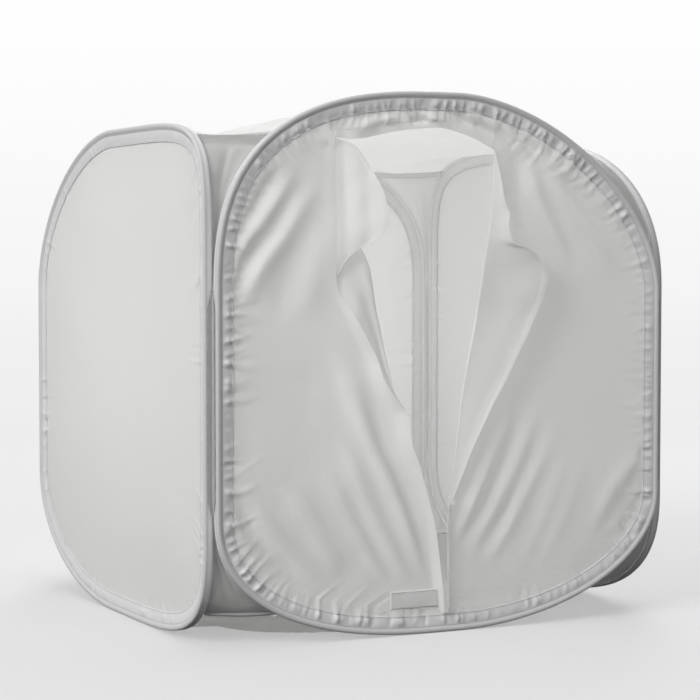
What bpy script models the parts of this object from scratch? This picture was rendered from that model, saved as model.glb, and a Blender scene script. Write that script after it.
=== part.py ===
"""Pop-up light tent cube: four sprung-steel hoops in sewn hems, joined at the corners.

Metres, +Z up. The origin is on the surface the tent stands on, under its middle. The front face
looks along -Y. Every face has its own outline, because a sprung hoop never stands quite square.
"""

import bmesh
import bpy
import math
import numpy as np
from mathutils import Matrix, Vector

# Driving dimensions
hoop_width = 0.600
front_height = 0.643
left_height = 0.607
back_height = 0.604
right_height = 0.601
seam_foot = 0.154
seam_head = 0.407
foot_length = 0.024

strip_width = 0.0060
strip_thickness = 0.0009
ferrule_length = 0.045
ferrule_wall = 0.0006

hem_thickness = 0.010
hem_depth = 0.022
hem_wall = 0.0008
hem_bevel = 0.0015
lip_wall = 0.0008
lip_grip = 0.008

cloth_thickness = 0.0006
panel_bow = 0.0035
ceiling_sag = 0.022
web_pull = 0.006
web_foot_height = 0.037
web_drop_front_left = 0.019
web_drop_front_right = 0.019
web_drop_back_right = 0.027
web_drop_back_left = 0.024
binding_radius = 0.0014
tape_thickness = 0.0006
attach_depth = 0.003

label_width = 0.064
label_height = 0.021
label_thickness = 0.0005
label_from_slit = 0.013
label_above_hem = 0.0095

seat_gap = 0.0003
crease_gap = 0.0009
lapel_lift = 0.0014
cut_overrun = 0.010

# Fullness of each hoop's four corners as exponents of a superellipse: 2 is round, more is squarer.
# The order is upper low-side, upper high-side, lower low-side, lower high-side along the face.
front_fullness_shares = (2.61, 1.74, 2.40, 1.96)
left_fullness_shares = (5.60, 1.76, 4.00, 2.00)
back_fullness_shares = (2.30, 2.61, 2.60, 2.60)
right_fullness_shares = (2.24, 4.60, 2.60, 2.60)

# Edge of the front opening, from the foot of the slit up its left side, along the header and down
# the right side, as shares of the hoop's width and of the front's height.
left_edge_shares = (
    (-0.011, 0.053), (-0.015, 0.078), (-0.023, 0.138), (-0.034, 0.199), (-0.050, 0.250),
    (-0.072, 0.313), (-0.090, 0.352), (-0.097, 0.392), (-0.104, 0.416), (-0.124, 0.437),
    (-0.149, 0.475), (-0.163, 0.514), (-0.188, 0.556), (-0.216, 0.600), (-0.245, 0.652),
    (-0.251, 0.912),
)
header_edge_shares = (
    (-0.251, 0.912), (-0.195, 0.911), (-0.108, 0.927), (-0.018, 0.934), (0.050, 0.919), (0.105, 0.896),
)
right_edge_shares = (
    (0.105, 0.896), (0.097, 0.780), (0.083, 0.686), (0.073, 0.633), (0.060, 0.561), (0.047, 0.509),
    (0.035, 0.449), (0.027, 0.398), (0.018, 0.325), (0.008, 0.269), (-0.012, 0.221), (-0.008, 0.140),
    (-0.005, 0.053),
)
# Free edges of the turned cloth: along, up, and how far it stands out, all as shares; the last is
# a share of the lapel's own stand.
left_lapel_shares = (
    (-0.244, 0.896, 0.00), (-0.214, 0.895, 0.30), (-0.194, 0.871, 0.60), (-0.176, 0.840, 0.85),
    (-0.163, 0.807, 1.00), (-0.161, 0.773, 1.00), (-0.163, 0.742, 0.90), (-0.176, 0.725, 0.72),
    (-0.200, 0.717, 0.50), (-0.224, 0.694, 0.25), (-0.239, 0.678, 0.00),
)
right_lapel_shares = (
    (0.110, 0.884, 0.10), (0.109, 0.848, 0.30), (0.113, 0.801, 0.55), (0.119, 0.760, 0.80),
    (0.128, 0.722, 1.00), (0.160, 0.712, 1.15), (0.190, 0.692, 1.25), (0.203, 0.665, 1.25),
    (0.199, 0.637, 1.20), (0.182, 0.598, 1.10), (0.157, 0.552, 1.00), (0.134, 0.510, 0.90),
    (0.111, 0.466, 0.80), (0.086, 0.441, 0.70), (0.061, 0.397, 0.60), (0.041, 0.355, 0.50),
    (0.030, 0.314, 0.40), (0.020, 0.274, 0.25), (0.002, 0.236, 0.10),
)
facing_shares = (
    (-0.233, 0.650, 0.10), (-0.212, 0.662, 0.30), (-0.180, 0.690, 0.60), (-0.165, 0.650, 0.90),
    (-0.152, 0.600, 1.00),
    (-0.142, 0.560, 1.00), (-0.134, 0.500, 0.85), (-0.126, 0.460, 0.45), (-0.107, 0.432, 0.10),
)
lapel_stand = 0.020
facing_turn = 0.011

# Main folds of the front panel: lower end, upper end, and height and half-width as shares of fold_rise
# and fold_half_width. Each runs on past its ends and fades, and all die away towards the hem.
fold_rise = 0.010
fold_half_width = 0.017
fold_overrun_share = 0.25
fold_fade_share = 0.40
fold_calm_width = 0.044
fold_calm_height = 0.088
front_fold_shares = (
    ((-0.045, 0.135), (-0.215, 0.500), 1.00, 1.00),
    ((-0.030, 0.150), (-0.125, 0.400), 0.80, 0.70),
    ((-0.090, 0.130), (-0.330, 0.470), 0.70, 1.10),
    ((-0.420, 0.560), (-0.345, 0.770), 0.60, 1.00),
    ((-0.350, 0.520), (-0.320, 0.720), 0.45, 0.90),
    ((0.020, 0.180), (0.130, 0.420), 0.90, 0.80),
    ((0.045, 0.160), (0.240, 0.470), 0.80, 1.00),
    ((0.180, 0.680), (0.130, 0.860), 0.70, 0.90),
    ((0.330, 0.560), (0.200, 0.840), 0.60, 1.10),
    ((0.400, 0.180), (0.340, 0.330), 0.50, 0.80),
)

hem_stations = 44
outline_steps = 48
search_steps = 192
straight_share = 0.5
panel_cells = 15
panel_rim_cells = 3
sheet_cells = 16
slant_cells = 2
web_rows = 8
web_columns = 3
lapel_row_steps = 2
lapel_columns = 6
front_columns = 9
left_rows = 24
header_rows = 8
right_rows = 20
binding_sides = 2
bow_edge_share = 0.5

# Worked out from the driving dimensions
half_width = hoop_width / 2
half_thickness = hem_thickness / 2
pivot = half_width + seat_gap
plane = pivot + seat_gap + half_thickness
channel_depth = strip_thickness + 2 * (ferrule_wall + 2 * seat_gap)
channel_end = hem_wall + channel_depth
lip_gap = cloth_thickness / 2 + seat_gap
panel_edge = hem_depth - lip_grip
inner_face = half_thickness + seat_gap

tent = bpy.data.collections.new("light_tent_cube")
cutters = bpy.data.collections.new("cutters")


def clear_scene():
    for item in list(bpy.data.objects):
        bpy.data.objects.remove(item, do_unlink=True)
    for group in (tent, cutters):
        bpy.context.scene.collection.children.link(group)


def make_material(name, colour, roughness, metallic=0.0, transmission=0.0):
    material = bpy.data.materials.new(name)
    material.use_nodes = True
    shader = material.node_tree.nodes["Principled BSDF"]
    shader.inputs["Base Color"].default_value = (*colour, 1.0)
    shader.inputs["Roughness"].default_value = roughness
    shader.inputs["Metallic"].default_value = metallic
    shader.inputs["Transmission Weight"].default_value = transmission
    return material


face_parts = ("hoop", "ferrule", "hem", "panel")

white_cloth = (0.80, 0.80, 0.79)
hem_cloth = (0.70, 0.70, 0.70)
tape_cloth = (0.60, 0.60, 0.60)
blue_steel = (0.30, 0.32, 0.35)
zinc = (0.62, 0.62, 0.60)


class Face:
    """One side of the tent: where its hoop stands and the outline its hem follows."""

    def __init__(self, name, height, fullness):
        self.name = name
        self.height = height
        self.outline = self.trace(height, fullness)

    def trace(self, height, fullness):
        """Outline points from one end of the flat foot round to the other, anticlockwise."""
        foot = foot_length / 2
        upper_low, upper_high, lower_low, lower_high = fullness
        angles = np.linspace(0, math.pi / 2, outline_steps)

        def corner(power, rise):
            spread = (np.cos(angles) ** power + np.sin(angles) ** power) ** (-1 / power)
            return foot + (half_width - foot) * np.cos(angles) * spread, rise * np.sin(angles) * spread

        points = []
        along, up = corner(lower_high, seam_foot)
        points += list(zip(along[::-1], seam_foot - up[::-1]))
        along, up = corner(upper_high, height - seam_head)
        points += list(zip(along, seam_head + up))
        along, up = corner(upper_low, height - seam_head)
        points += list(zip(-along[::-1], seam_head + up[::-1]))
        along, up = corner(lower_low, seam_foot)
        points += list(zip(-along, seam_foot - up))
        return np.array(points)

    def stations(self, count):
        """Points on the outline, closer together where it turns."""
        line = self.outline
        step = np.hypot(*np.diff(line, axis=0).T)
        heading = np.unwrap(np.arctan2(*np.diff(line, axis=0).T[::-1]))
        turn = np.abs(np.gradient(heading)) * half_width
        measure = np.concatenate([[0], np.cumsum(step * straight_share + turn)])
        wanted = np.linspace(0, measure[-1], count)
        return np.stack([np.interp(wanted, measure, line[:, axis]) for axis in (0, 1)], 1)

    def inset(self, depth):
        """The outline moved inwards by depth."""
        line = self.outline
        ahead = np.roll(line, -1, axis=0) - np.roll(line, 1, axis=0)
        ahead /= np.hypot(*ahead.T)[:, None]
        return line + np.stack([-ahead[:, 1], ahead[:, 0]], 1) * depth

    def place(self, along, up, out=0.0):
        """World point: along the face, up, and out from the middle of its hem."""
        reach = plane + out
        spots = {
            "front": (along, -reach, up),
            "back": (along, reach, up),
            "left": (-reach, along, up),
            "right": (reach, along, up),
        }
        return Vector(spots[self.name])

    def frame(self):
        """Matrix that stands a flat XY outline up in this face."""
        turn = Matrix.Rotation(math.pi / 2, 4, "X")
        if self.name in ("left", "right"):
            turn = Matrix.Rotation(math.pi / 2, 4, "Z") @ turn
        return Matrix.Translation(self.place(0, 0)) @ turn


class Line:
    """A polyline read by its share of length."""

    def __init__(self, points):
        self.points = np.array(points, float)
        steps = np.linalg.norm(np.diff(self.points, axis=0), axis=1)
        self.reach = np.concatenate([[0], np.cumsum(steps)])

    def at(self, share):
        spot = share * self.reach[-1]
        return np.array([np.interp(spot, self.reach, column) for column in self.points.T])

    def share_near(self, along, up):
        """Share of the length at which the line comes nearest to a point."""
        shares = np.linspace(0, 1, search_steps + 1)
        gaps = [np.hypot(*(self.at(share)[:2] - (along, up))) for share in shares]
        return shares[int(np.argmin(gaps))]

    def part(self, start, end):
        """The stretch of the line from one share of its length to another, also backwards."""
        low, high = sorted((start * self.reach[-1], end * self.reach[-1]))
        kept = self.points[(self.reach > low) & (self.reach < high)]
        if start > end:
            kept = kept[::-1]
        return Line([self.at(start), *kept, self.at(end)])


def finish(item, name, material, group=tent):
    item.name = name
    item.data.name = name
    for user in list(item.users_collection):
        user.objects.unlink(item)
    group.objects.link(item)
    item.data.materials.clear()
    item.data.materials.append(material)
    return item


def poly_curve(name, points, cyclic=False, flat=False):
    data = bpy.data.curves.new(name, "CURVE")
    data.dimensions = "2D" if flat else "3D"
    data.fill_mode = "NONE" if flat else "FULL"
    spline = data.splines.new("POLY")
    spline.points.add(len(points) - 1)
    for point, spot in zip(spline.points, points):
        point.co = (*spot, 0.0, 1.0) if flat else (*spot, 1.0)
    spline.use_cyclic_u = cyclic
    return bpy.data.objects.new(name, data)


def sweep(face, name, section, material):
    """A closed ring: the section carried round the face's outline. Its X is the depth inwards."""
    guide = poly_curve(name + "_section", section[::-1], cyclic=True, flat=True)
    finish(guide, name + "_section", material, cutters)
    guide.hide_render = True
    guide.display_type = "WIRE"
    ring = poly_curve(name, face.stations(hem_stations), cyclic=True, flat=True)
    ring.data.bevel_mode = "OBJECT"
    ring.data.bevel_object = guide
    ring.matrix_world = face.frame()
    return finish(ring, name, material)


def sheet(name, columns, rows, place, material, thickness=cloth_thickness):
    """A cloth sheet: a grid whose points are placed by two shares, then given its thickness."""
    net = bmesh.new()
    bmesh.ops.create_grid(net, x_segments=columns, y_segments=rows, size=1)
    for point in net.verts:
        point.co = place((point.co.x + 1) / 2, (point.co.y + 1) / 2)
    data = bpy.data.meshes.new(name)
    net.to_mesh(data)
    net.free()
    data.shade_smooth()
    item = finish(bpy.data.objects.new(name, data), name, material)
    solid = item.modifiers.new("cloth", "SOLIDIFY")
    solid.thickness = thickness
    solid.offset = 0
    return item


def ease(value):
    """Smooth step from 0 to 1."""
    value = min(max(value, 0.0), 1.0)
    return value * value * (3 - 2 * value)


def hem_section():
    """Binding folded over the strip: a bulb round the channel, then two lips that hold the cloth."""
    lip_out = lip_gap + lip_wall
    throat = channel_end + half_thickness
    outer = [
        (0, half_thickness - hem_bevel),
        (hem_bevel, half_thickness),
        (channel_end + hem_wall, half_thickness),
        (hem_depth, lip_out),
    ]
    inner = [
        (hem_depth, lip_gap),
        (throat, lip_gap),
        (channel_end, half_thickness - hem_wall),
        (hem_wall, half_thickness - hem_wall),
    ]
    half = outer + inner
    return [(depth, -across) for depth, across in half] + half[::-1]


def strip_section():
    middle = hem_wall + channel_depth / 2
    near, far = middle - strip_thickness / 2, middle + strip_thickness / 2
    across = strip_width / 2
    return [(near, -across), (far, -across), (far, across), (near, across)]


def box(name, size, middle, material, group=tent):
    net = bmesh.new()
    bmesh.ops.create_cube(net, size=1.0)
    bmesh.ops.scale(net, vec=size, verts=net.verts)
    data = bpy.data.meshes.new(name)
    net.to_mesh(data)
    net.free()
    item = finish(bpy.data.objects.new(name, data), name, material, group)
    item.location = middle
    return item


def make_hoop(face, material):
    return sweep(face, face.name + "_hoop", strip_section(), material)


def make_ferrule(face, material):
    """Crimp sleeve over the strip's two ends, halfway up the straight side."""
    name = face.name + "_ferrule"
    hole = Vector((strip_thickness + 2 * seat_gap, strip_width + 2 * seat_gap, ferrule_length + cut_overrun))
    size = Vector((hole.x + 2 * ferrule_wall, hole.y + 2 * ferrule_wall, ferrule_length))
    along = hem_wall + channel_depth / 2 - half_width
    middle = face.place(along, (seam_foot + seam_head) / 2)
    if face.name in ("left", "right"):
        hole = Vector((hole.y, hole.x, hole.z))
        size = Vector((size.y, size.x, size.z))
    sleeve = box(name, size, middle, material)
    cutter = box(name + "_hole", hole, middle, material, cutters)
    cutter.hide_render = True
    cutter.display_type = "WIRE"
    cut = sleeve.modifiers.new("hole", "BOOLEAN")
    cut.operation = "DIFFERENCE"
    cut.object = cutter
    return sleeve


def make_hem(face, material):
    return sweep(face, face.name + "_hem", hem_section(), material)


def make_panel(face, material):
    """Plain side panel: flat in the hem's lips, bowed out a little in its middle."""
    edge = Line(np.vstack([face.inset(panel_edge), face.inset(panel_edge)[:1]]))
    centre = np.array([0.0, face.height / 2])

    def place(share_u, share_v):
        u, v = 2 * share_u - 1, 2 * share_v - 1
        reach = max(abs(u), abs(v))
        if reach == 0:
            return face.place(*centre, panel_bow)
        sideways = abs(u) >= abs(v)
        eighth = math.pi / 4
        angle = eighth * v / u if sideways else math.pi / 2 - eighth * u / v
        if (u if sideways else v) < 0:
            angle += math.pi
        from_foot = (angle + math.pi / 2) / (2 * math.pi) % 1
        spot = centre + (edge.at(from_foot) - centre) * reach
        bowed_share = (panel_cells - panel_rim_cells) / panel_cells
        return face.place(*spot, panel_bow * ease((1 - reach / bowed_share) / bow_edge_share))

    return sheet(face.name + "_panel", panel_cells, panel_cells, place, material)


def front_spots(shares):
    return [(along * hoop_width, up * front_height, *rest) for along, up, *rest in shares]


def front_relief(face, along, up):
    """How far the front panel's main folds stand out at a point of it; they die away by the hem."""
    gap = np.hypot(*(face.inset(hem_depth + half_thickness) - (along, up)).T).min()
    calm = ease(gap / fold_calm_width) * ease((up - fold_calm_height) / hem_depth)
    out = 0.0
    for low, high, rise, width in front_fold_shares:
        start = Vector((low[0] * hoop_width, low[1] * front_height))
        end = Vector((high[0] * hoop_width, high[1] * front_height))
        run = end - start
        spot = Vector((along, up)) - start
        share = spot.dot(run) / run.length_squared
        across = (spot - run * share).length / (fold_half_width * width)
        ends = 1.0
        for past in (share, 1 - share):
            ends *= ease((past + fold_overrun_share) / fold_fade_share)
        out = max(out, fold_rise * rise * ends * math.exp(-across * across))
    return out * calm


def make_front_panel(face, material):
    """Horseshoe of cloth round the opening: left half, header and right half in one sheet."""
    inset = face.inset(panel_edge)
    rim = Line(inset)
    second = Line(face.inset(hem_depth + half_thickness))
    left = front_spots(left_edge_shares)
    header = front_spots(header_edge_shares)
    right = front_spots(right_edge_shares)
    top = [spot for spot in inset if spot[1] > seam_head]
    turns = []
    for along, _ in (header[0], header[-1]):
        over = min(top, key=lambda spot: abs(spot[0] - along))
        turns.append(rim.share_near(*over))
    stretches = (
        (Line(left), 1.0, turns[0], left_rows),
        (Line(header), turns[0], turns[1], header_rows),
        (Line(right), turns[1], 0.0, right_rows),
    )
    rows = left_rows + header_rows + right_rows

    def place(share_u, share_v):
        row = round(share_v * rows)
        column = round(share_u * front_columns)
        for edge, start, end, count in stretches:
            if row <= count:
                break
            row -= count
        share = row / count
        turn = start + (end - start) * share
        outer, near, inner = rim.at(turn), second.at(turn), edge_spot(face, edge, share)
        if column == 0:
            return face.place(*outer)
        if column == 1:
            return face.place(*near)
        if column == front_columns:
            return face.place(*inner)
        spot = near + (inner[:2] - near) * (column - 1) / (front_columns - 1)
        return face.place(*spot, front_relief(face, *spot))

    return sheet("front_panel", front_columns, rows, place, material)


def edge_spot(face, edge, share):
    """Point of the front panel's cut edge: along, up, and out with the panel's folds."""
    spot = edge.at(share)
    return np.array([*spot, front_relief(face, *spot)])


def make_turned_cloth(name, face, crease, free, stand, lift, material):
    """Cloth from a crease of the front panel out to its own free edge.

    The crease is given by the panel's own row points, so that the two keep the same small gap all
    along. The cloth stands out from the panel, or turns in where stand is negative. With a lift its
    first cell turns up beside the panel's edge and the rest lies back over the panel.
    """
    free = Line(free)
    rows = len(crease) - 1
    row_shares = np.arange(rows + 1) / rows
    ahead = crease[-1] - crease[0]
    side = np.array([-ahead[1], ahead[0]]) / np.hypot(*ahead[:2])
    side *= -np.sign(side[0]) if lift else np.sign(side[0])
    turned = 1 if lift else 0

    def place(share_u, share_v):
        start = np.array([np.interp(share_v, row_shares, column) for column in crease.T])
        column = round(share_u * lapel_columns)
        spread = max(column - turned, 0) / (lapel_columns - turned)
        end = free.at(share_v)
        root = start[:2] + side * crease_gap
        spot = root + (end[:2] - root) * spread
        rise = math.sin(spread * math.pi / 2) if lift else ease(spread)
        out = start[2] + end[2] * stand * rise
        if column >= turned:
            out += lift
        return face.place(*spot, out)

    return sheet(name, lapel_columns, rows * lapel_row_steps, place, material)


def web_edge(face, low_side, head, height):
    """Stretch of a hem that a web is sewn along, from the seam's end to the web's straight edge."""
    line = [spot for spot in face.inset(attach_depth) if (spot[0] < 0) == low_side]
    limit = seam_head if head else seam_foot
    kept = [spot for spot in line if (limit <= spot[1] <= height if head else height <= spot[1] <= limit)]
    kept.sort(key=lambda spot: spot[1], reverse=not head)
    before = min(line, key=lambda spot: abs(spot[1] - height))
    kept.append(np.array([before[0], height]))
    return Line(kept)


class Corner:
    """Where two hems meet: the faces, the side of each, and the signs of X and Y there."""

    def __init__(self, across, along, drop):
        self.across = across
        self.along = along
        self.name = across.name + "_" + along.name
        self.x = 1 if along.name == "right" else -1
        self.y = 1 if across.name == "back" else -1
        self.head_height = min(across.height, along.height) - drop

    def edges(self, head):
        height = self.head_height if head else web_foot_height
        first = web_edge(self.across, self.x < 0, head, height)
        second = web_edge(self.along, self.y < 0, head, height)
        return first, second

    def chord(self, head):
        """Ends of the binding along the web's straight edge, clear of the inner face of each hem."""
        first, second = self.edges(head)
        inwards = half_thickness + seat_gap + binding_radius
        start = self.across.place(*first.at(1), -inwards)
        end = self.along.place(*second.at(1), -inwards)
        return start, end

    def beside(self, head):
        """Level step from the binding's middle line to the edge of the ceiling or floor."""
        start, end = self.chord(head)
        step = Vector((start.y - end.y, end.x - start.x, 0)).normalized()
        if step.dot(start + end) > 0:
            step = -step
        return step * (binding_radius + seat_gap + cloth_thickness / 2)

    def sheet_middle(self, head):
        """Middle of the ceiling's or floor's edge across this corner."""
        start, end = self.chord(head)
        return (start + end) / 2 + self.beside(head)

    def sheet_end(self, face, head):
        """How far along a hem the edge of the ceiling or floor starts."""
        start, end = (tip + self.beside(head) for tip in self.chord(head))
        wall = face.place(0, 0, -inner_face)
        if face is self.across:
            return start.lerp(end, (wall.y - start.y) / (end.y - start.y)).x
        return start.lerp(end, (wall.x - start.x) / (end.x - start.x)).y


def make_tape(corner, material):
    """Seam tape in the outer angle between two hems, an L in plan."""
    leg = hem_thickness - hem_bevel
    thin = tape_thickness
    x, y = corner.x, corner.y
    outline = [(0, 0), (leg, 0), (leg, thin), (thin, thin), (thin, leg), (0, leg)]
    points = [(x * a, y * b, 0) for a, b in outline]
    name = corner.name + "_seam_tape"
    data = bpy.data.curves.new(name, "CURVE")
    data.dimensions = "2D"
    data.fill_mode = "BOTH"
    inset = hem_depth
    data.extrude = (seam_head - seam_foot) / 2 - inset
    spline = data.splines.new("POLY")
    spline.points.add(len(points) - 1)
    for point, spot in zip(spline.points, points):
        point.co = (*spot, 1.0)
    spline.use_cyclic_u = True
    item = finish(bpy.data.objects.new(name, data), name, material)
    item.location = (x * pivot, y * pivot, (seam_foot + seam_head) / 2)
    return item


def make_web(corner, head, material):
    first, second = corner.edges(head)
    clear = seat_gap + cloth_thickness
    drop = (binding_radius + cloth_thickness) * (-1 if head else 1)

    def place(share_u, share_v):
        start = corner.across.place(*first.at(share_v), -half_thickness - clear)
        end = corner.along.place(*second.at(share_v), -half_thickness - clear)
        spot = start.lerp(end, share_u)
        inwards = -Vector((spot.x, spot.y, 0)).normalized()
        pull = web_pull * math.sin(share_u * math.pi) * math.sin(share_v * math.pi)
        spot += inwards * pull
        spot.z += drop * share_v
        return spot

    name = corner.name + ("_upper_web" if head else "_lower_web")
    return sheet(name, web_columns, web_rows, place, material)


def make_binding(corner, head, material):
    start, end = corner.chord(head)
    name = corner.name + ("_upper_binding" if head else "_lower_binding")
    item = poly_curve(name, [start, end])
    item.data.bevel_depth = binding_radius
    item.data.bevel_resolution = binding_sides
    item.data.use_fill_caps = True
    return finish(item, name, material)


def make_lapels(face, material):
    """The two free upper corners of the front panel, and the turned edge below the left one."""
    left = (Line(front_spots(left_edge_shares)), left_rows)
    right = (Line(front_spots(right_edge_shares)), right_rows)
    pieces = (
        ("left_lapel", left, left_lapel_shares, lapel_stand, 0),
        ("left_facing", left, facing_shares, -facing_turn, 0),
        ("right_lapel", right, right_lapel_shares, lapel_stand, lapel_lift),
    )
    for name, (edge, count), shares, stand, lift in pieces:
        free = front_spots(shares)
        first, last = (round(edge.share_near(*spot[:2]) * count) for spot in (free[0], free[-1]))
        step = 1 if last > first else -1
        rows = range(first, last + step, step)
        crease = np.array([edge_spot(face, edge, row / count) for row in rows])
        cloth = make_turned_cloth(name, face, crease, free, stand, lift, material)
        if name.endswith("lapel"):
            lower, upper = sorted(crease[[0, -1]], key=lambda spot: spot[1])
            clear = crease_gap if edge is left[0] else -crease_gap
            lower, upper = (face.place(along + clear, up) for along, up, _ in (lower, upper))
            hang([cloth], name + "_crease", lower, upper - lower)


def end_sheet(name, faces, corners, head, material):
    """Ceiling or floor: its edges run along the hems and across the corners, its middle hangs."""
    order = {"front": (0, 1), "right": (1, 2), "back": (3, 2), "left": (0, 3)}
    edges = {}
    for face in faces:
        low, high = (corners[index] for index in order[face.name])
        line = face.inset(attach_depth)
        middle = max(line, key=lambda spot: spot[1] if head else -spot[1])
        start, end = low.sheet_end(face, head), high.sheet_end(face, head)
        limit = (seam_head + middle[1]) / 2 if head else (seam_foot + middle[1]) / 2
        band = np.array([spot for spot in line if (spot[1] > limit) == head])
        band = band[np.argsort(band[:, 0])]
        inner = [spot for spot in band if start < spot[0] < end]
        tips = [(along, np.interp(along, *band.T)) for along in (start, end)]
        points = [face.place(*spot, -inner_face) for spot in (tips[0], *inner, tips[1])]
        edges[face.name] = (
            Line([low.sheet_middle(head), points[0]]),
            Line(points),
            Line([points[-1], high.sheet_middle(head)]),
        )

    slant = slant_cells / sheet_cells

    def along(name, share):
        """Point of an edge: its first and last cells follow the slants across the corners."""
        first, middle, last = edges[name]
        if share <= slant:
            return first.at(share / slant)
        if share >= 1 - slant:
            return last.at((share - 1 + slant) / slant)
        return middle.at((share - slant) / (1 - 2 * slant))

    def place(u, v):
        south, north = along("front", u), along("back", u)
        west, east = along("left", v), along("right", v)
        blend = south * (1 - v) + north * v + west * (1 - u) + east * u
        blend -= (along("front", 0) * (1 - u) + along("front", 1) * u) * (1 - v)
        blend -= (along("back", 0) * (1 - u) + along("back", 1) * u) * v
        hollow = math.sin(math.pi * u) * math.sin(math.pi * v)
        if head:
            blend[2] -= ceiling_sag * hollow
        else:
            blend[2] = max(blend[2], cloth_thickness / 2)
        return Vector(blend)

    return sheet(name, sheet_cells, sheet_cells, place, material)


def make_label(face, material):
    """Bare sewn label low on the left half, by the slit."""
    along = -(label_from_slit + label_width / 2)
    up = hem_depth + label_above_hem + label_height / 2
    out = cloth_thickness / 2 + seat_gap + label_thickness / 2
    return box("label", (label_width, label_thickness, label_height), face.place(along, up, out), material)


upright = (0, 0, 1)


def hang(pieces, name, spot, axis=upright, carrier=None):
    """An empty on a joint's axis, with its Z along it, that carries the pieces which move about it."""
    hinge = bpy.data.objects.new(name, None)
    tent.objects.link(hinge)
    turn = Vector(axis).to_track_quat("Z", "Y").to_matrix().to_4x4()
    stand = Matrix.Translation(spot) @ turn
    hinge.matrix_world = stand
    for piece in pieces:
        piece.parent = hinge
        piece.matrix_parent_inverse = stand.inverted()
    if carrier:
        hinge.parent = carrier
        hinge.matrix_parent_inverse = carrier.matrix_world.inverted()
    return hinge


def joint_faces():
    """Carry each folding face on its hinge; the back's hinge is carried by the left face."""
    groups = {}
    for name in ("left", "right", "back"):
        groups[name] = [tent.objects[f"{name}_{part}"] for part in face_parts]
    left_hinge = hang(groups["left"], "left_hinge", Vector((-pivot, -pivot, 0)))
    hang(groups["right"], "right_hinge", Vector((pivot, -pivot, 0)))
    hang(groups["back"], "back_hinge", Vector((-pivot, pivot, 0)), carrier=left_hinge)


def main():
    clear_scene()
    cloth = make_material("white_cloth", white_cloth, 0.75, transmission=0.2)
    hem = make_material("hem_cloth", hem_cloth, 0.8)
    tape = make_material("tape_cloth", tape_cloth, 0.85)
    steel = make_material("spring_steel", blue_steel, 0.35, metallic=1.0)
    crimp = make_material("zinc", zinc, 0.45, metallic=1.0)

    front = Face("front", front_height, front_fullness_shares)
    left = Face("left", left_height, left_fullness_shares)
    back = Face("back", back_height, back_fullness_shares)
    right = Face("right", right_height, right_fullness_shares)
    faces = (front, left, back, right)
    for face in faces:
        make_hoop(face, steel)
        make_ferrule(face, crimp)
        make_hem(face, hem)
    for face in (left, back, right):
        make_panel(face, cloth)
    make_front_panel(front, cloth)
    make_lapels(front, cloth)

    corners = (
        Corner(front, left, web_drop_front_left),
        Corner(front, right, web_drop_front_right),
        Corner(back, right, web_drop_back_right),
        Corner(back, left, web_drop_back_left),
    )
    for corner in corners:
        make_tape(corner, tape)
        for head in (True, False):
            make_web(corner, head, cloth)
            make_binding(corner, head, tape)
    end_sheet("ceiling", faces, corners, True, cloth)
    end_sheet("floor", faces, corners, False, cloth)
    make_label(front, cloth)
    joint_faces()


main()
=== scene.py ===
"""Looks of a pop-up light tent cube: its cloth, hems, stitches, stage, light and camera."""

import math

import bmesh
import bpy
import numpy as np
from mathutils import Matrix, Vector


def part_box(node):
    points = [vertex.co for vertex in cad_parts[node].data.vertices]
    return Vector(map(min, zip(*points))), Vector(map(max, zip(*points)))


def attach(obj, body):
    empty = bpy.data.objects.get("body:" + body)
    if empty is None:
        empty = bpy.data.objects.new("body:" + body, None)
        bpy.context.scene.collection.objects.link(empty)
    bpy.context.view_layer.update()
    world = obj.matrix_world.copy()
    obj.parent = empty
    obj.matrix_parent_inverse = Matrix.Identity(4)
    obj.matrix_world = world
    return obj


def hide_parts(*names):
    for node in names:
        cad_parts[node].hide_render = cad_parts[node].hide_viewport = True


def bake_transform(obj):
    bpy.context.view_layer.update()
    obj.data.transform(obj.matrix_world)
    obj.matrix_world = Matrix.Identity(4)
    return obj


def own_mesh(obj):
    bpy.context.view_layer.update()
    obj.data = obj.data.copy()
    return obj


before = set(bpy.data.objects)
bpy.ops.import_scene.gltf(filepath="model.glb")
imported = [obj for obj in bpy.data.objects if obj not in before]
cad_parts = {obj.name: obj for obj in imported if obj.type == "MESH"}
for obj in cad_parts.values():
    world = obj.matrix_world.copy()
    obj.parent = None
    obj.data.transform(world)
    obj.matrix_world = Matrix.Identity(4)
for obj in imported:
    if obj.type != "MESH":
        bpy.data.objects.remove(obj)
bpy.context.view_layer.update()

# Outlines of the four faces, as the CAD model has them: fullness of each hoop's corners in the order
# upper low-side, upper high-side, lower low-side, lower high-side.
fullness_shares = {
    "front": (2.61, 1.74, 2.40, 1.96),
    "left": (5.60, 1.76, 4.00, 2.00),
    "back": (2.30, 2.61, 2.60, 2.60),
    "right": (2.24, 4.60, 2.60, 2.60),
}
foot_length = 0.024
seam_foot = 0.154
seam_head = 0.407
corner_steps = 240

# Sizes of the hems, webs and sheets
hem_depth = 0.022
hem_half = 0.005
panel_depth = 0.014
attach_depth = 0.003
seat_gap = 0.0003
cloth_thickness = 0.0005
panel_bow = 0.0035
panel_bow_reach = 0.12
ceiling_sag = 0.027
web_foot_height = 0.037
web_drops = {"front_left": 0.019, "front_right": 0.019, "back_right": 0.027, "back_left": 0.024}
web_pull = 0.006
web_ripple, web_crumple = 0.0009, 0.0014
binding_radius = 0.0014
binding_depth = 0.011
binding_dip = 0.0022
binding_profile = (
    (0.0, 0.0), (0.10, 0.85), (0.22, 1.0), (0.45, 0.70), (0.75, 0.52), (0.96, 0.50), (1.0, 0.30),
)
tape_overrun = 0.004
seam_tape_leg = 0.0062
seam_tape_bend = 0.0012
layer_gap = 0.0009
lining_binding_share = 0.78

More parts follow.
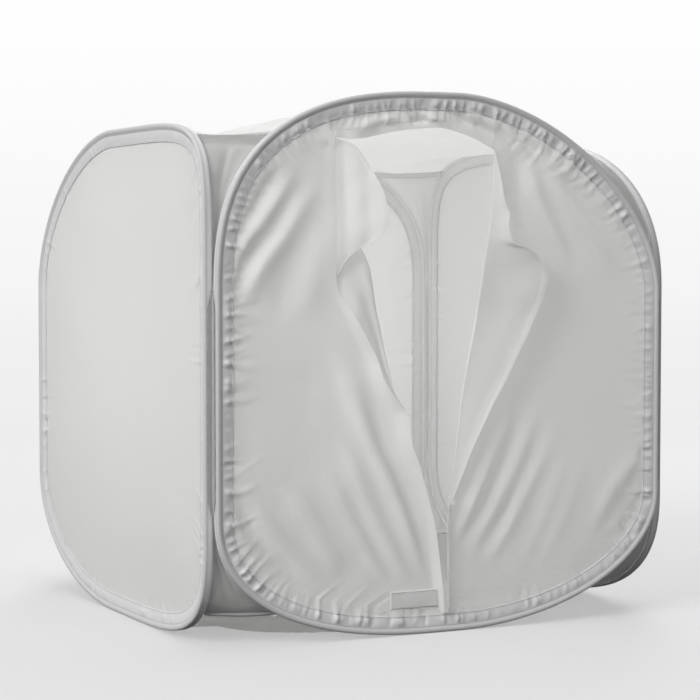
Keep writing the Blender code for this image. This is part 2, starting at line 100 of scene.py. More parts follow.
# Cloth laid flat: widths of tapes and hems, side of the ceiling and floor, and shares of a rectangle left as
# cloth once its corners are rounded or cut off
hem_flat_width = 0.056
seam_tape_width = 0.0125
binding_flat_widths = (0.012, 0.0105)
end_sheet_flat = (0.600, 0.96)
rounded_share = 0.91

hem_stations = 1024
channel_stitch_depth = 0.0080
lip_stitch_depth = 0.0200
stitch_pitch = 0.0036
stitch_length = 0.0027
stitch_width = 0.0006
stitch_rings = ((-0.5, 0.25), (-0.34, 0.9), (0.34, 0.9), (0.5, 0.25))
stitch_sides = 6
label_stitch_pitch = 0.0028
label_lift = 0.0009
label_stitch_lift = 0.0014

# Section of a hem's outer and inner skin: depth from its tip and height from its middle, in tenths of a
# millimetre
hem_profile = np.array([
    (0, 0), (0, 22), (2, 36), (8, 46), (18, 51), (34, 52), (48, 49), (60, 41), (70, 34), (78, 30), (88, 31),
    (110, 30), (140, 26), (165, 22), (190, 16), (200, 14), (210, 16), (220, 13),
]) / 10000
hem_inside = np.array([(220, 6), (150, 6), (91, 6), (41, 42), (8, 42)]) / 10000

# Edge of the front opening and free edges of the turned cloth, in thousandths of the front's width and height
left_edge_points = (
    (-11, 40), (-15, 78), (-23, 138), (-34, 199), (-50, 250), (-72, 313), (-90, 352), (-97, 392),
    (-104, 416), (-124, 437), (-149, 475), (-163, 514), (-188, 556), (-216, 600), (-245, 652),
    (-247, 760), (-251, 912),
)
header_edge_points = (
    (-251, 912), (-195, 911), (-108, 927), (-18, 934), (50, 919), (105, 896),
)
right_edge_points = (
    (105, 896), (97, 780), (83, 686), (73, 633), (60, 561), (47, 509), (35, 449), (27, 398), (18, 325),
    (8, 269), (-6, 221), (-6, 140), (-5, 40),
)
left_lapel_points = (
    (-251, 912), (-214, 899), (-192, 872), (-176, 840), (-163, 807), (-158, 770), (-162, 742),
    (-180, 724), (-203, 713), (-226, 692), (-244, 664),
)
right_lapel_points = (
    (105, 894), (111, 848), (115, 801), (124, 778), (120, 752), (130, 722), (160, 713), (190, 692),
    (203, 665), (199, 637), (182, 598), (157, 552), (134, 510), (111, 466), (86, 425), (61, 377),
    (41, 335), (24, 290), (6, 236),
)
facing_points = (
    (-244, 668), (-222, 700), (-196, 724), (-168, 680), (-152, 605), (-142, 560), (-132, 500),
    (-122, 450), (-104, 416),
)

# How the cut edges curl, with heights on the front as shares, and how the turned cloth stands
header_foot = 0.885
left_curl_top = 0.64
right_curl_top = 0.23
curl_peak = 0.37
curl_width, peak_curl_width = 0.011, 0.009
curl_height, peak_curl_height = 0.0070, 0.0060
right_curl, right_curl_width = 0.0020, 0.010
plain_curl, plain_curl_width = 0.0012, 0.020
edge_hem_width = 0.0085
lapel_slope = 0.60
lapel_roll = 0.010
lapel_wave = 0.027
lapel_wave_start = 0.017
lapel_wave_height = 0.0014
facing_drop = 0.016
facing_wave = 0.0030
right_roll = 0.0017
right_wave = 0.0018
right_stand = 0.024
right_stand_shares = (
    (0.00, 0.02), (0.08, 0.25), (0.20, 0.60), (0.30, 0.90), (0.38, 1.00), (0.50, 1.00), (0.65, 0.80),
    (0.80, 0.55), (0.92, 0.28), (1.00, 0.04),
)

# Folds of the front panel, as crests and hollows: height and half-width as shares of the two values below,
# then the points that each runs through, in thousandths of the front's width and height
fold_height = 0.0085
fold_width = 0.0125
fold_steps = 60
front_folds = (
    (-0.75, 0.80, (-350, 868), (-392, 815), (-425, 775), (-468, 725)),
    (0.55, 0.80, (-330, 860), (-390, 775), (-440, 716), (-475, 660)),
    (-0.75, 0.85, (-290, 865), (-335, 808), (-380, 747), (-430, 690), (-475, 600)),
    (0.65, 1.10, (-285, 850), (-352, 745), (-410, 670), (-450, 590)),
    (-0.35, 1.50, (-270, 840), (-318, 735), (-350, 660), (-375, 560)),
    (0.30, 1.50, (-255, 780), (-285, 680), (-320, 580)),
    (0.95, 0.95, (-240, 560), (-225, 490), (-180, 375), (-116, 258), (-43, 90)),
    (-0.55, 0.70, (-190, 480), (-150, 365), (-90, 240), (-34, 100)),
    (0.60, 0.80, (-235, 400), (-200, 290), (-162, 216), (-78, 85)),
    (-0.30, 0.70, (-240, 320), (-190, 215), (-110, 90)),
    (0.45, 0.85, (-275, 330), (-205, 205), (-135, 95)),
    (0.45, 0.95, (-360, 305), (-300, 215), (-220, 110)),
    (-0.75, 0.80, (-475, 290), (-410, 190), (-355, 142), (-300, 90)),
    (0.35, 0.80, (-455, 300), (-385, 205), (-330, 155), (-270, 95)),
    (0.95, 0.80, (160, 450), (150, 425), (92, 310), (12, 150)),
    (-0.50, 0.65, (185, 440), (118, 300), (30, 145)),
    (0.65, 0.70, (225, 450), (205, 400), (146, 285), (46, 130)),
    (-0.40, 0.65, (240, 400), (170, 277), (65, 115)),
    (0.60, 0.75, (270, 410), (192, 274), (92, 110)),
    (0.30, 0.70, (285, 345), (225, 203), (175, 120)),
    (0.30, 0.80, (330, 330), (249, 162), (215, 110)),
    (0.60, 0.60, (475, 350), (440, 300), (381, 236), (335, 150)),
    (-0.50, 0.50, (465, 310), (420, 240), (375, 170)),
    (0.40, 0.50, (445, 260), (405, 200), (375, 150)),
    (-0.50, 0.60, (490, 300), (450, 200), (400, 130)),
    (-0.75, 1.00, (140, 910), (160, 845), (155, 790), (170, 730)),
    (0.60, 0.85, (165, 890), (200, 825), (246, 745), (290, 690)),
    (-0.35, 0.70, (190, 885), (228, 818), (275, 740), (320, 680)),
    (0.60, 0.90, (205, 890), (262, 815), (330, 745), (398, 655)),
    (-0.45, 0.80, (235, 880), (300, 820), (370, 755), (430, 680)),
    (0.35, 0.80, (265, 885), (340, 825), (410, 750)),
    (-0.60, 0.60, (-235, 945), (-190, 968), (-120, 975), (-40, 958)),
    (0.55, 0.50, (-215, 925), (-160, 945), (-100, 950)),
    (0.55, 0.45, (-120, 985), (-60, 960), (-10, 945)),
    (-0.60, 0.50, (-90, 950), (-65, 948), (-40, 950)),
    (-0.60, 0.50, (-80, 990), (0, 972), (60, 945), (110, 915)),
    (0.60, 0.50, (-30, 992), (50, 968), (130, 925)),
    (-0.50, 0.50, (10, 992), (85, 960), (160, 900)),
    (0.45, 0.50, (40, 985), (120, 945), (195, 880)),
    (-0.45, 0.50, (100, 975), (160, 930), (220, 880)),
)


def ease(value):
    """Smooth step from 0 to 1."""
    value = np.clip(value, 0.0, 1.0)
    return value * value * (3 - 2 * value)


def cloud(u, v, cell, seed):
    """Smooth random height from -1 to 1 over a plane, with bumps one cell across."""
    side = 97
    table = np.random.default_rng(seed).uniform(-1, 1, (side, side))
    x, y = np.asarray(u) / cell + side / 2, np.asarray(v) / cell + side / 2
    left, low = np.floor(x).astype(int), np.floor(y).astype(int)
    across, up = ease(x - left), ease(y - low)
    near = table[left % side, low % side] * (1 - across) + table[(left + 1) % side, low % side] * across
    far = table[left % side, (low + 1) % side] * (1 - across)
    far = far + table[(left + 1) % side, (low + 1) % side] * across
    return near * (1 - up) + far * up


def slack(spots, *layers):
    """Soft unevenness of loose cloth, each layer with its cell, height and seed."""
    return sum(cloud(spots[..., 0], spots[..., 1], cell, seed) * height for cell, height, seed in layers)


class Line:
    """A smooth line through points, read by its share of length."""

    def __init__(self, points, smooth=True, steps=24):
        points = np.array(points, float)
        if smooth and len(points) > 2:
            points = self.rounded(points, steps)
        gaps = np.linalg.norm(np.diff(points, axis=0), axis=1)
        self.points = points
        self.length = gaps.sum()
        self.shares = np.concatenate([[0], np.cumsum(gaps)]) / self.length

    @staticmethod
    def rounded(points, steps):
        """Catmull-Rom spline through the points."""
        first, last = 2 * points[0] - points[1], 2 * points[-1] - points[-2]
        wide = np.vstack([first, points, last])
        t = np.linspace(0, 1, steps, endpoint=False)[:, None]
        spans = []
        for a, b, c, d in zip(wide, wide[1:], wide[2:], wide[3:]):
            bend = 2 * a - 5 * b + 4 * c - d
            twist = 3 * (b - c) + d - a
            spans.append((2 * b + (c - a) * t + bend * t**2 + twist * t**3) / 2)
        return np.vstack([*spans, points[-1:]])

    def at(self, share):
        share = np.asarray(share, float)
        return np.stack([np.interp(share, self.shares, column) for column in self.points.T], -1)

    def nearest(self, spots):
        """Share of the length that lies nearest to each spot."""
        spots = np.atleast_2d(spots)
        shares = np.linspace(0, 1, 401)
        gaps = np.linalg.norm(spots[:, None] - self.at(shares)[None], axis=2)
        return shares[gaps.argmin(1)]


class Face:
    """One side of the tent: its plane, and the outline that its hem follows."""

    def __init__(self, name):
        low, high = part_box(name + "_hem")
        self.name = name
        self.axis = 1 if name in ("front", "back") else 0
        self.sign = -1 if name in ("front", "left") else 1
        self.flipped = name in ("left", "back")
        self.height = high.z
        self.half = (high[1 - self.axis] - low[1 - self.axis]) / 2
        self.plane = abs(low[self.axis] + high[self.axis]) / 2
        self.trace()

    def trace(self):
        """Dense outline from the right end of the flat foot, anticlockwise, with its inward normals."""
        foot = foot_length / 2
        upper_low, upper_high, lower_low, lower_high = fullness_shares[self.name]
        angles = np.linspace(0, math.pi / 2, corner_steps)

        def corner(power, rise):
            radius = (np.cos(angles) ** power + np.sin(angles) ** power) ** (-1 / power)
            along = foot + (self.half - foot) * np.cos(angles) * radius
            return np.stack([along, rise * np.sin(angles) * radius], 1)

        head = self.height - seam_head
        turn_back = np.array([-1, 1])
        quarters = [
            corner(lower_high, seam_foot)[::-1] * (1, -1) + (0, seam_foot),
            corner(upper_high, head) + (0, seam_head),
            corner(upper_low, head)[::-1] * turn_back + (0, seam_head),
            corner(lower_low, seam_foot) * (-1, -1) + (0, seam_foot),
        ]
        points = np.vstack(quarters)
        points = np.vstack([points, points[:1]])
        keep = np.concatenate([[True], np.linalg.norm(np.diff(points, axis=0), axis=1) > 1e-7])
        points = points[keep]
        gaps = np.linalg.norm(np.diff(points, axis=0), axis=1)
        self.perimeter = gaps.sum()
        places = np.concatenate([[0], np.cumsum(gaps)]) / self.perimeter
        even = np.linspace(0, 1, 4 * corner_steps + 1)
        line = np.stack([np.interp(even, places, column) for column in points.T], 1)
        ahead = np.roll(line[:-1], -1, axis=0) - np.roll(line[:-1], 1, axis=0)
        ahead /= np.linalg.norm(ahead, axis=1)[:, None]
        inward = np.stack([-ahead[:, 1], ahead[:, 0]], 1)
        self.even = even
        self.line = line
        self.inward = np.vstack([inward, inward[:1]])

    def rim(self, share, depth=0.0):
        """Points (along, up) at shares of the perimeter, moved inwards by depth."""
        share = np.asarray(share, float) % 1.0
        spot = np.stack([np.interp(share, self.even, column) for column in self.line.T], -1)
        inward = np.stack([np.interp(share, self.even, column) for column in self.inward.T], -1)
        return spot + inward * np.asarray(depth)[..., None]

    def share_near(self, along, up):
        return self.even[np.linalg.norm(self.line - (along, up), axis=1).argmin()]

    def place(self, spots, out=0.0):
        """World points of (along, up) pairs, out from the middle of the hem."""
        spots = np.asarray(spots, float)
        reach = self.sign * (self.plane + np.asarray(out, float) + np.zeros(spots.shape[:-1]))
        if self.axis == 1:
            return np.stack([spots[..., 0], reach, spots[..., 1]], -1)
        return np.stack([reach, spots[..., 0], spots[..., 1]], -1)


class Puckers:
    """Small gathers along a hem, as short ridges that run inwards from it."""

    def __init__(self, face, seed, count=300, height=0.0011, patches=()):
        rng = np.random.default_rng(seed)
        self.span = face.perimeter
        self.spots = np.sort(rng.uniform(0, self.span, count))
        self.widths = rng.uniform(0.0015, 0.0036, count)
        self.reaches = rng.uniform(0.012, 0.055, count)
        self.slants = rng.uniform(-0.35, 0.35, count)
        self.heights = height * rng.uniform(-0.6, 1.0, count)
        calm = 0.75 + 0.55 * cloud(self.spots, 0 * self.spots, 0.13, seed + 1)
        self.heights *= np.clip(calm, 0.4, 1.0)
        for share, width, gain in patches:
            gap = (self.spots / self.span - share + 0.5) % 1.0 - 0.5
            self.heights *= 1 + gain * np.exp(-((gap / width) ** 2))

    def rise(self, share, depth):
        """How far the cloth stands out at a share of the perimeter and a depth from the outline."""
        share, depth = np.broadcast_arrays(np.asarray(share, float), np.asarray(depth, float))
        inner = depth - hem_depth
        grown = ease((depth - channel_stitch_depth) / 0.006)
        grown = grown * (1 - 0.45 * np.exp(-(((depth - lip_stitch_depth) / 0.0016) ** 2)))
        out = np.zeros(share.shape)
        near = inner < self.reaches.max()
        along, inner_near, grown_near = share[near] * self.span, inner[near], grown[near]
        total = np.zeros(along.shape)
        for spot, width, reach, slant, height in zip(
            self.spots, self.widths, self.reaches, self.slants, self.heights
        ):
            gap = (along - spot - slant * inner_near + self.span / 2) % self.span - self.span / 2
            wide = width * (1 + 0.6 * np.clip(inner_near, 0, None) / reach)
            fade = np.clip(1 - np.clip(inner_near, 0, None) / reach, 0, 1) ** 1.5
            total += height * np.exp(-((gap / wide) ** 2)) * fade
        out[near] = total * grown_near
        return out


def add_object(name, data):
    item = bpy.data.objects.new(name, data)
    bpy.context.scene.collection.objects.link(item)
    return item


def new_piece(name, points, faces, material, uv=None):
    """A mesh object from an array of points and lists of faces, with its UV map in metres."""
    data = bpy.data.meshes.new(name)
    data.from_pydata(np.asarray(points, float).reshape(-1, 3).tolist(), [], faces)
    if uv is not None:
        layer = data.uv_layers.new(name="metres")
        loops = np.zeros(len(data.loops), np.int32)
        data.loops.foreach_get("vertex_index", loops)
        layer.data.foreach_set("uv", np.asarray(uv, np.float32).reshape(-1, 2)[loops].ravel())
    data.polygons.foreach_set("use_smooth", [True] * len(data.polygons))
    data.materials.append(material)
    data.update()
    return add_object(name, data)


def quads(index):
    """Quads between the rows and columns of an array of point numbers."""
    a, b = index[:-1, :-1].ravel(), index[:-1, 1:].ravel()
    c, d = index[1:, 1:].ravel(), index[1:, :-1].ravel()
    return np.stack([a, b, c, d], 1).tolist()


def grid_faces(rows, columns):
    return quads(np.arange(rows * columns).reshape(rows, columns))


def face_outwards(item):
    """Close the mesh where its edges meet, and turn its faces out."""
    net = bmesh.new()
    net.from_mesh(item.data)
    bmesh.ops.remove_doubles(net, verts=net.verts, dist=1e-6)
    bmesh.ops.recalc_face_normals(net, faces=net.faces)
    net.to_mesh(item.data)
    net.free()
    return item


def thicken(item, rim=False):
    """Two skins, between which light spreads; without a rim no line shows where cloth runs on."""
    solid = item.modifiers.new("cloth", "SOLIDIFY")
    solid.thickness = cloth_thickness
    solid.offset = 0
    solid.use_rim = rim
    return item


def cloth_grid(name, points, material, uv=None, rim=False):
    """A sheet over a grid of points."""
    rows, columns = points.shape[:2]
    if uv is None:
        down = np.linalg.norm(np.diff(points, axis=0), axis=2)
        over = np.linalg.norm(np.diff(points, axis=1), axis=2)
        v = np.vstack([np.zeros(columns), np.cumsum(down, axis=0)]).mean(1)
        u = np.hstack([np.zeros((rows, 1)), np.cumsum(over, axis=1)])
        uv = np.stack([u, np.repeat(v[:, None], columns, 1)], -1)
    sheet = new_piece(name, points, grid_faces(rows, columns), material, uv)
    return thicken(face_outwards(sheet), rim)


def stitch_row(spots, normals, pitch=stitch_pitch, closed=False):
    """Points of a row of stitches along a line on a surface, each a small pillow of thread."""
    spots, normals = np.asarray(spots, float), np.asarray(normals, float)
    if closed:
        spots, normals = np.vstack([spots, spots[:1]]), np.vstack([normals, normals[:1]])
    gaps = np.linalg.norm(np.diff(spots, axis=0), axis=1)
    places = np.concatenate([[0], np.cumsum(gaps)])
    count = max(int(places[-1] / pitch), 1)
    middles = (np.arange(count) + 0.5) * places[-1] / count

    def read(table, where):
        return np.stack([np.interp(where, places, column) for column in table.T], 1)

    half = stitch_length / 2
    middle, normal = read(spots, middles), read(normals, middles)
    ahead = read(spots, np.minimum(middles + half, places[-1])) - read(spots, np.maximum(middles - half, 0))
    ahead /= np.linalg.norm(ahead, axis=1)[:, None]
    normal -= ahead * (normal * ahead).sum(1)[:, None]
    normal /= np.linalg.norm(normal, axis=1)[:, None]
    side = np.cross(normal, ahead)
    points = []
    for along, girth in stitch_rings:
        for turn in np.arange(stitch_sides) * 2 * math.pi / stitch_sides:
            points.append(
                middle
                + ahead * along * stitch_length
                + side * math.cos(turn) * girth * stitch_width / 2
                + normal * (math.sin(turn) * girth * stitch_width / 2)
            )
    return np.stack(points, 1).reshape(-1, 3)


def stitch_faces(count):
    """Faces of count stitches, each with its rings of points one after the other."""
    rings, sides = len(stitch_rings), stitch_sides
    faces = []
    for ring in range(rings - 1):
        for side in range(sides):
            after = (side + 1) % sides
            low, high = ring * sides, (ring + 1) * sides
            faces.append((low + side, high + side, high + after, low + after))
    faces.append(tuple(range(sides)))
    faces.append(tuple(range((rings - 1) * sides, rings * sides))[::-1])
    size = rings * sides
    return [tuple(corner + size * item for corner in face) for item in range(count) for face in faces]


def make_stitches(name, rows, material):
    """One piece for several rows of stitches, each given as its points."""
    points = np.vstack(rows)
    count = len(points) // (len(stitch_rings) * stitch_sides)
    return new_piece(name, points, stitch_faces(count), material)


def fill(node, sockets):
    """Set a node's inputs by name or number: a socket is linked, anything else is a value."""
    for key, value in sockets.items():
        if isinstance(value, bpy.types.NodeSocket):
            node.id_data.links.new(value, node.inputs[key])
        else:
            node.inputs[key].default_value = value


def add(tree, kind, sockets=(), **properties):
    """A node with its properties and then its inputs set."""
    node = tree.nodes.new(kind)
    for key, value in properties.items():
        setattr(node, key, value)
    fill(node, dict(sockets))
    return node


def new_material(name):
    material = bpy.data.materials.new(name)
    material.use_nodes = True
    return material, material.node_tree, material.node_tree.nodes["Principled BSDF"]


def maths(tree, operation, first, second):
    return add(tree, "ShaderNodeMath", {0: first, 1: second}, operation=operation).outputs[0]


def coordinates(tree, kind="Object"):
    return add(tree, "ShaderNodeTexCoord").outputs[kind]


def noise(tree, place, scale, detail, roughness=0.5):
    """Noise from 0 to 1 with its bumps about 1 / scale across."""
    sockets = {"Vector": place, "Scale": scale, "Detail": detail, "Roughness": roughness}
    return add(tree, "ShaderNodeTexNoise", sockets).outputs["Fac"]


def thread_waves(tree, metres, pitch, direction):
    """Bands of threads, one every pitch metres of the UV map."""
    bands_per_unit = 2 * math.pi / 20
    sockets = {"Vector": metres, "Scale": bands_per_unit / pitch, "Distortion": 0.6, "Detail": 1.0}
    wave = add(tree, "ShaderNodeTexWave", sockets, bands_direction=direction, wave_profile="SIN")
    return wave.outputs["Fac"]


def mixed(tree, factor, first, second, blend="MIX"):
    """One colour turning into another, or multiplied by it."""
    sockets = {"Factor": factor, "A": first, "B": second}
    mix = add(tree, "ShaderNodeMix", sockets, data_type="RGBA", blend_type=blend)
    return mix.outputs["Result"]


def tinted(tree, factor, colour, low, high):
    """A colour that varies between two gains by a factor."""
    ends = [(*(min(part * gain, 1.0) for part in colour), 1.0) for gain in (low, high)]
    return mixed(tree, factor, *ends)


def greys(tree, factor, stops):
    """Grey from a list of positions from 0 to 1 and their levels."""
    ramp = add(tree, "ShaderNodeValToRGB", {"Fac": factor})
    elements = ramp.color_ramp.elements
    for number, (position, level) in enumerate(stops):
        stop = elements[number] if number < 2 else elements.new(position)
        stop.position = position
        stop.color = (level, level, level, 1.0)
    return ramp.outputs["Color"]


def reach_of(tree, value, start, end, interpolation="LINEAR"):
    """Share of the way from start to end that a value has come."""
    sockets = {"Value": value, "From Min": start, "From Max": end}
    return add(tree, "ShaderNodeMapRange", sockets, interpolation_type=interpolation).outputs["Result"]


def raised(tree, height, strength, distance, **under):
    """Normals of a surface raised by a height, on top of the normals under it."""
    sockets = {"Height": height, "Strength": strength, "Distance": distance, **under}
    return add(tree, "ShaderNodeBump", sockets).outputs["Normal"]


def show(tree, output, factor, first, second):
    """Show a mix of two shaders."""
    mix = add(tree, "ShaderNodeMixShader", {"Fac": factor, 1: first.outputs[0], 2: second.outputs[0]})
    fill(output, {"Surface": mix.outputs[0]})


def painted_shade_bands(tree, metres, tone, bands):
    """The tone darkened by bands of painted shade along V."""
    first, last = bands[0][0], bands[-1][0]
    split = add(tree, "ShaderNodeSeparateXYZ", {0: metres})
    stops = [((distance - first) / (last - first), level) for distance, level in bands]
    shade = greys(tree, reach_of(tree, split.outputs["Y"], first, last), stops)
    return mixed(tree, 1.0, tone, shade, "MULTIPLY")


def make_cloth(name, colour, through, pitch=0.0006, crumple=0.00035, shade=0.03, bands=()):
    """Woven cloth: crossing threads, faint uneven weave, soft crumples, and light through it.

    Bands are (distance along V in metres, tone) pairs of painted shade that darken the cloth from edge to
    edge.
    """
    material, tree, shader = new_material(name)
    metres = add(tree, "ShaderNodeUVMap", uv_map="metres").outputs["UV"]
    place = coordinates(tree)
    threads = maths(tree, "MAXIMUM", *(thread_waves(tree, metres, pitch, way) for way in "XY"))
    patches = noise(tree, place, 9.0, 4.0, 0.6)
    slubs = noise(tree, metres, 900.0, 2.0)
    folds = noise(tree, place, 55.0, 3.0, 0.55)

    uneven = maths(tree, "MULTIPLY", patches, 0.6)
    for part in (threads, slubs):
        uneven = maths(tree, "ADD", uneven, maths(tree, "MULTIPLY", part, 0.2))
    tone = tinted(tree, uneven, colour, 1 - shade, 1 + shade)
    if bands:
        tone = painted_shade_bands(tree, metres, tone, bands)
    soft = raised(tree, folds, 1.0, crumple)
    fill(shader, {
        "Base Color": tone,
        "Roughness": maths(tree, "ADD", maths(tree, "MULTIPLY", patches, 0.12), 0.66),
        "Specular IOR Level": 0.30,
        "Sheen Weight": 0.08,
        "Sheen Roughness": 0.5,
        "Normal": raised(tree, threads, 0.5, pitch / 8, Normal=soft),
    })
    behind = add(tree, "ShaderNodeBsdfTranslucent", {"Color": tone, "Normal": soft})
    show(tree, tree.nodes["Material Output"], through, shader, behind)
    return material


def make_metal(name, colour, roughness, scale, stretch):
    """Rolled metal: fine streaks along the strip and dull patches."""
    material, tree, shader = new_material(name)
    place = add(tree, "ShaderNodeMapping", {"Vector": coordinates(tree), "Scale": stretch}).outputs[0]
    streaks = noise(tree, place, scale, 5.0, 0.7)
    fill(shader, {
        "Base Color": tinted(tree, streaks, colour, 0.82, 1.15),
        "Metallic": 1.0,
        "Roughness": maths(tree, "ADD", maths(tree, "MULTIPLY", streaks, 0.25), roughness),
        "Normal": raised(tree, streaks, 0.3, 0.00005),
    })
    return material


def make_thread(name, colour):
    """Sewing thread: matt, with a fine twist along each stitch."""
    material, tree, shader = new_material(name)
    twist = noise(tree, coordinates(tree), 2500.0, 2.0)
    fill(shader, {
        "Base Color": tinted(tree, twist, colour, 0.85, 1.08),
        "Roughness": 0.8,
        "Normal": raised(tree, twist, 0.4, 0.0001),
    })
    return material


# Hems


def hem_section():
    """Closed section of a hem: depth and height from its tip, and how far along the skin each point is."""
    half = np.vstack([hem_profile[1:], hem_inside])
    section = np.vstack([half, half[::-1] * (1, -1), hem_profile[:1], half[:1]])
    skin = np.concatenate([[0], np.cumsum(np.linalg.norm(np.diff(section, axis=0), axis=1))])
    skin += np.linalg.norm(section[0])
    skin[len(half) :] -= skin[-1]
    return section, skin


def make_hem(face, puckers, material):
    """Cloth folded over the hoop: a bulb round the channel, then gathered lips that hold the panel."""
    section, skin = hem_section()
    shares = np.arange(hem_stations + 1) / hem_stations
    share, depth = np.meshgrid(shares, section[:, 0], indexing="ij")
    out = np.broadcast_to(section[:, 1], share.shape) + puckers.rise(share % 1.0, depth)
    points = face.place(face.rim(share, depth), out)
    uv = np.stack([share * face.perimeter, np.broadcast_to(skin, share.shape)], -1)
    faces = grid_faces(*share.shape)
    return face_outwards(new_piece(face.name + "_hem_cloth", points, faces, material, uv))


def hem_stitches(face, puckers, material):
    """Two rows of stitches on each skin of a hem: one shuts the channel, one holds the panel."""
    shares = np.arange(hem_stations) / hem_stations
    depths, heights = hem_profile[1:].T
    flat = np.zeros((hem_stations, 2))
    normal = face.place(flat, 1.0) - face.place(flat, 0.0)
    rows = []
    for side in (1, -1):
        for depth in (channel_stitch_depth, lip_stitch_depth):
            out = side * np.interp(depth, depths, heights) + puckers.rise(shares, depth)
            rows.append(stitch_row(face.place(face.rim(shares, depth), out), normal * side, closed=True))
    return make_stitches(face.name + "_hem_stitches", rows, material)


# Side panels: points in each ring, with the rings' depths from the lips or their shares of the way inwards

panel_rings = (
    (1024, (0.0, 0.004, 0.008, 0.010, 0.012, 0.015, 0.018, 0.022, 0.027, 0.033, 0.040)),
    (512, np.arange(0.048, 0.100, 0.009)),
    (256, np.linspace(0.36, 0.60, 9)),
    (128, np.linspace(0.65, 0.88, 6)),
    (64, (0.94,)),
)
panel_ring_depths = (1024, 512)


def make_panel(face, puckers, material, seed):
    """Plain side panel: rings of points from inside the hem's lips to the middle."""
    centre = np.array([0.0, face.height / 2])
    points, uv, counts = [], [], []
    for count, reaches in panel_rings:
        share = np.arange(count) / count
        rim = face.rim(share, panel_depth)
        inward = face.rim(share, panel_depth + 0.001) - rim
        inward /= np.linalg.norm(inward, axis=1)[:, None]
        way = centre - rim
        length = np.linalg.norm(way, axis=1)
        slope = (way * inward).sum(1) / length
        for reach in reaches:
            part = np.full(count, reach)
            if count in panel_ring_depths:
                part = reach / np.maximum(slope, 0.5) / length
            spots = rim + way * part[:, None]
            out = panel_relief(face, spots, share, panel_depth + part * length * slope, puckers, seed)
            points.append(face.place(spots, out))
            uv.append(spots)
            counts.append(count)
    middle = panel_relief(face, centre[None], np.zeros(1), np.array([face.half]), puckers, seed)
    points.append(face.place(centre[None], middle))
    uv.append(centre[None])
    faces, near = [], 0
    for count, after in zip(counts, counts[1:]):
        far = near + count
        for item in range(after):
            following = (item + 1) % after
            if after == count:
                faces.append((near + item, near + following, far + following, far + item))
            else:
                first, second, third = 2 * item, 2 * item + 1, (2 * item + 2) % count
                faces.append((near + first, near + second, far + item))
                faces.append((near + second, far + following, far + item))
                faces.append((near + second, near + third, far + following))
        near = far
    last = counts[-1]
    faces += [(near + item, near + (item + 1) % last, near + last) for item in range(last)]
    if face.flipped:
        faces = [corner[::-1] for corner in faces]
    name = face.name + "_panel_cloth"
    return thicken(new_piece(name, np.vstack(points), faces, material, np.vstack(uv)))


def panel_relief(face, spots, share, depth, puckers, seed):
    """How far a side panel stands out: bowed by the hoop's pull, with faint slack and its gathers."""
    free = ease((depth - hem_depth) / panel_bow_reach)
    loose = slack(spots, (0.16, 0.0022, seed)) + slack(spots * (1.3, 0.5), (0.045, 0.0005, seed + 5))
    return panel_bow * free + loose * free + puckers.rise(share, depth)


# Front panel: rows along its three cut edges, columns across the strip beside the hem and on to the cut edge,
# how many of them the gathers can reach, the strip's width, and the room below which it narrows

front_rows = (370, 141, 370)
front_columns = (10, 37)
gathered_columns = 26
gathered_width = 0.012
narrowed_room = 0.060


def front_line(points, face):
    """Smooth line through points in thousandths of the front's width and height."""
    return Line([(along / 1000 * 2 * face.half, up / 1000 * face.height) for along, up in points])


def fold_field(spots, face):
    """Height of the front panel's folds at (along, up) points."""
    out = np.zeros(spots.shape[:-1])
    for height, width, *points in front_folds:
        steps = front_line(points, face).at(np.linspace(0, 1, fold_steps))
        gaps = np.linalg.norm(spots[..., None, :] - steps, axis=-1)
        nearest = gaps.argmin(-1)
        gap = np.take_along_axis(gaps, nearest[..., None], -1)[..., 0]
        share = nearest / (fold_steps - 1)
        ends = ease(share / 0.35) * ease((1 - share) / 0.30)
        wide = fold_width * width * (0.65 + 0.7 * (1 - share))
        out += fold_height * height * ends * np.exp(-((gap / wide) ** 2))
    return out


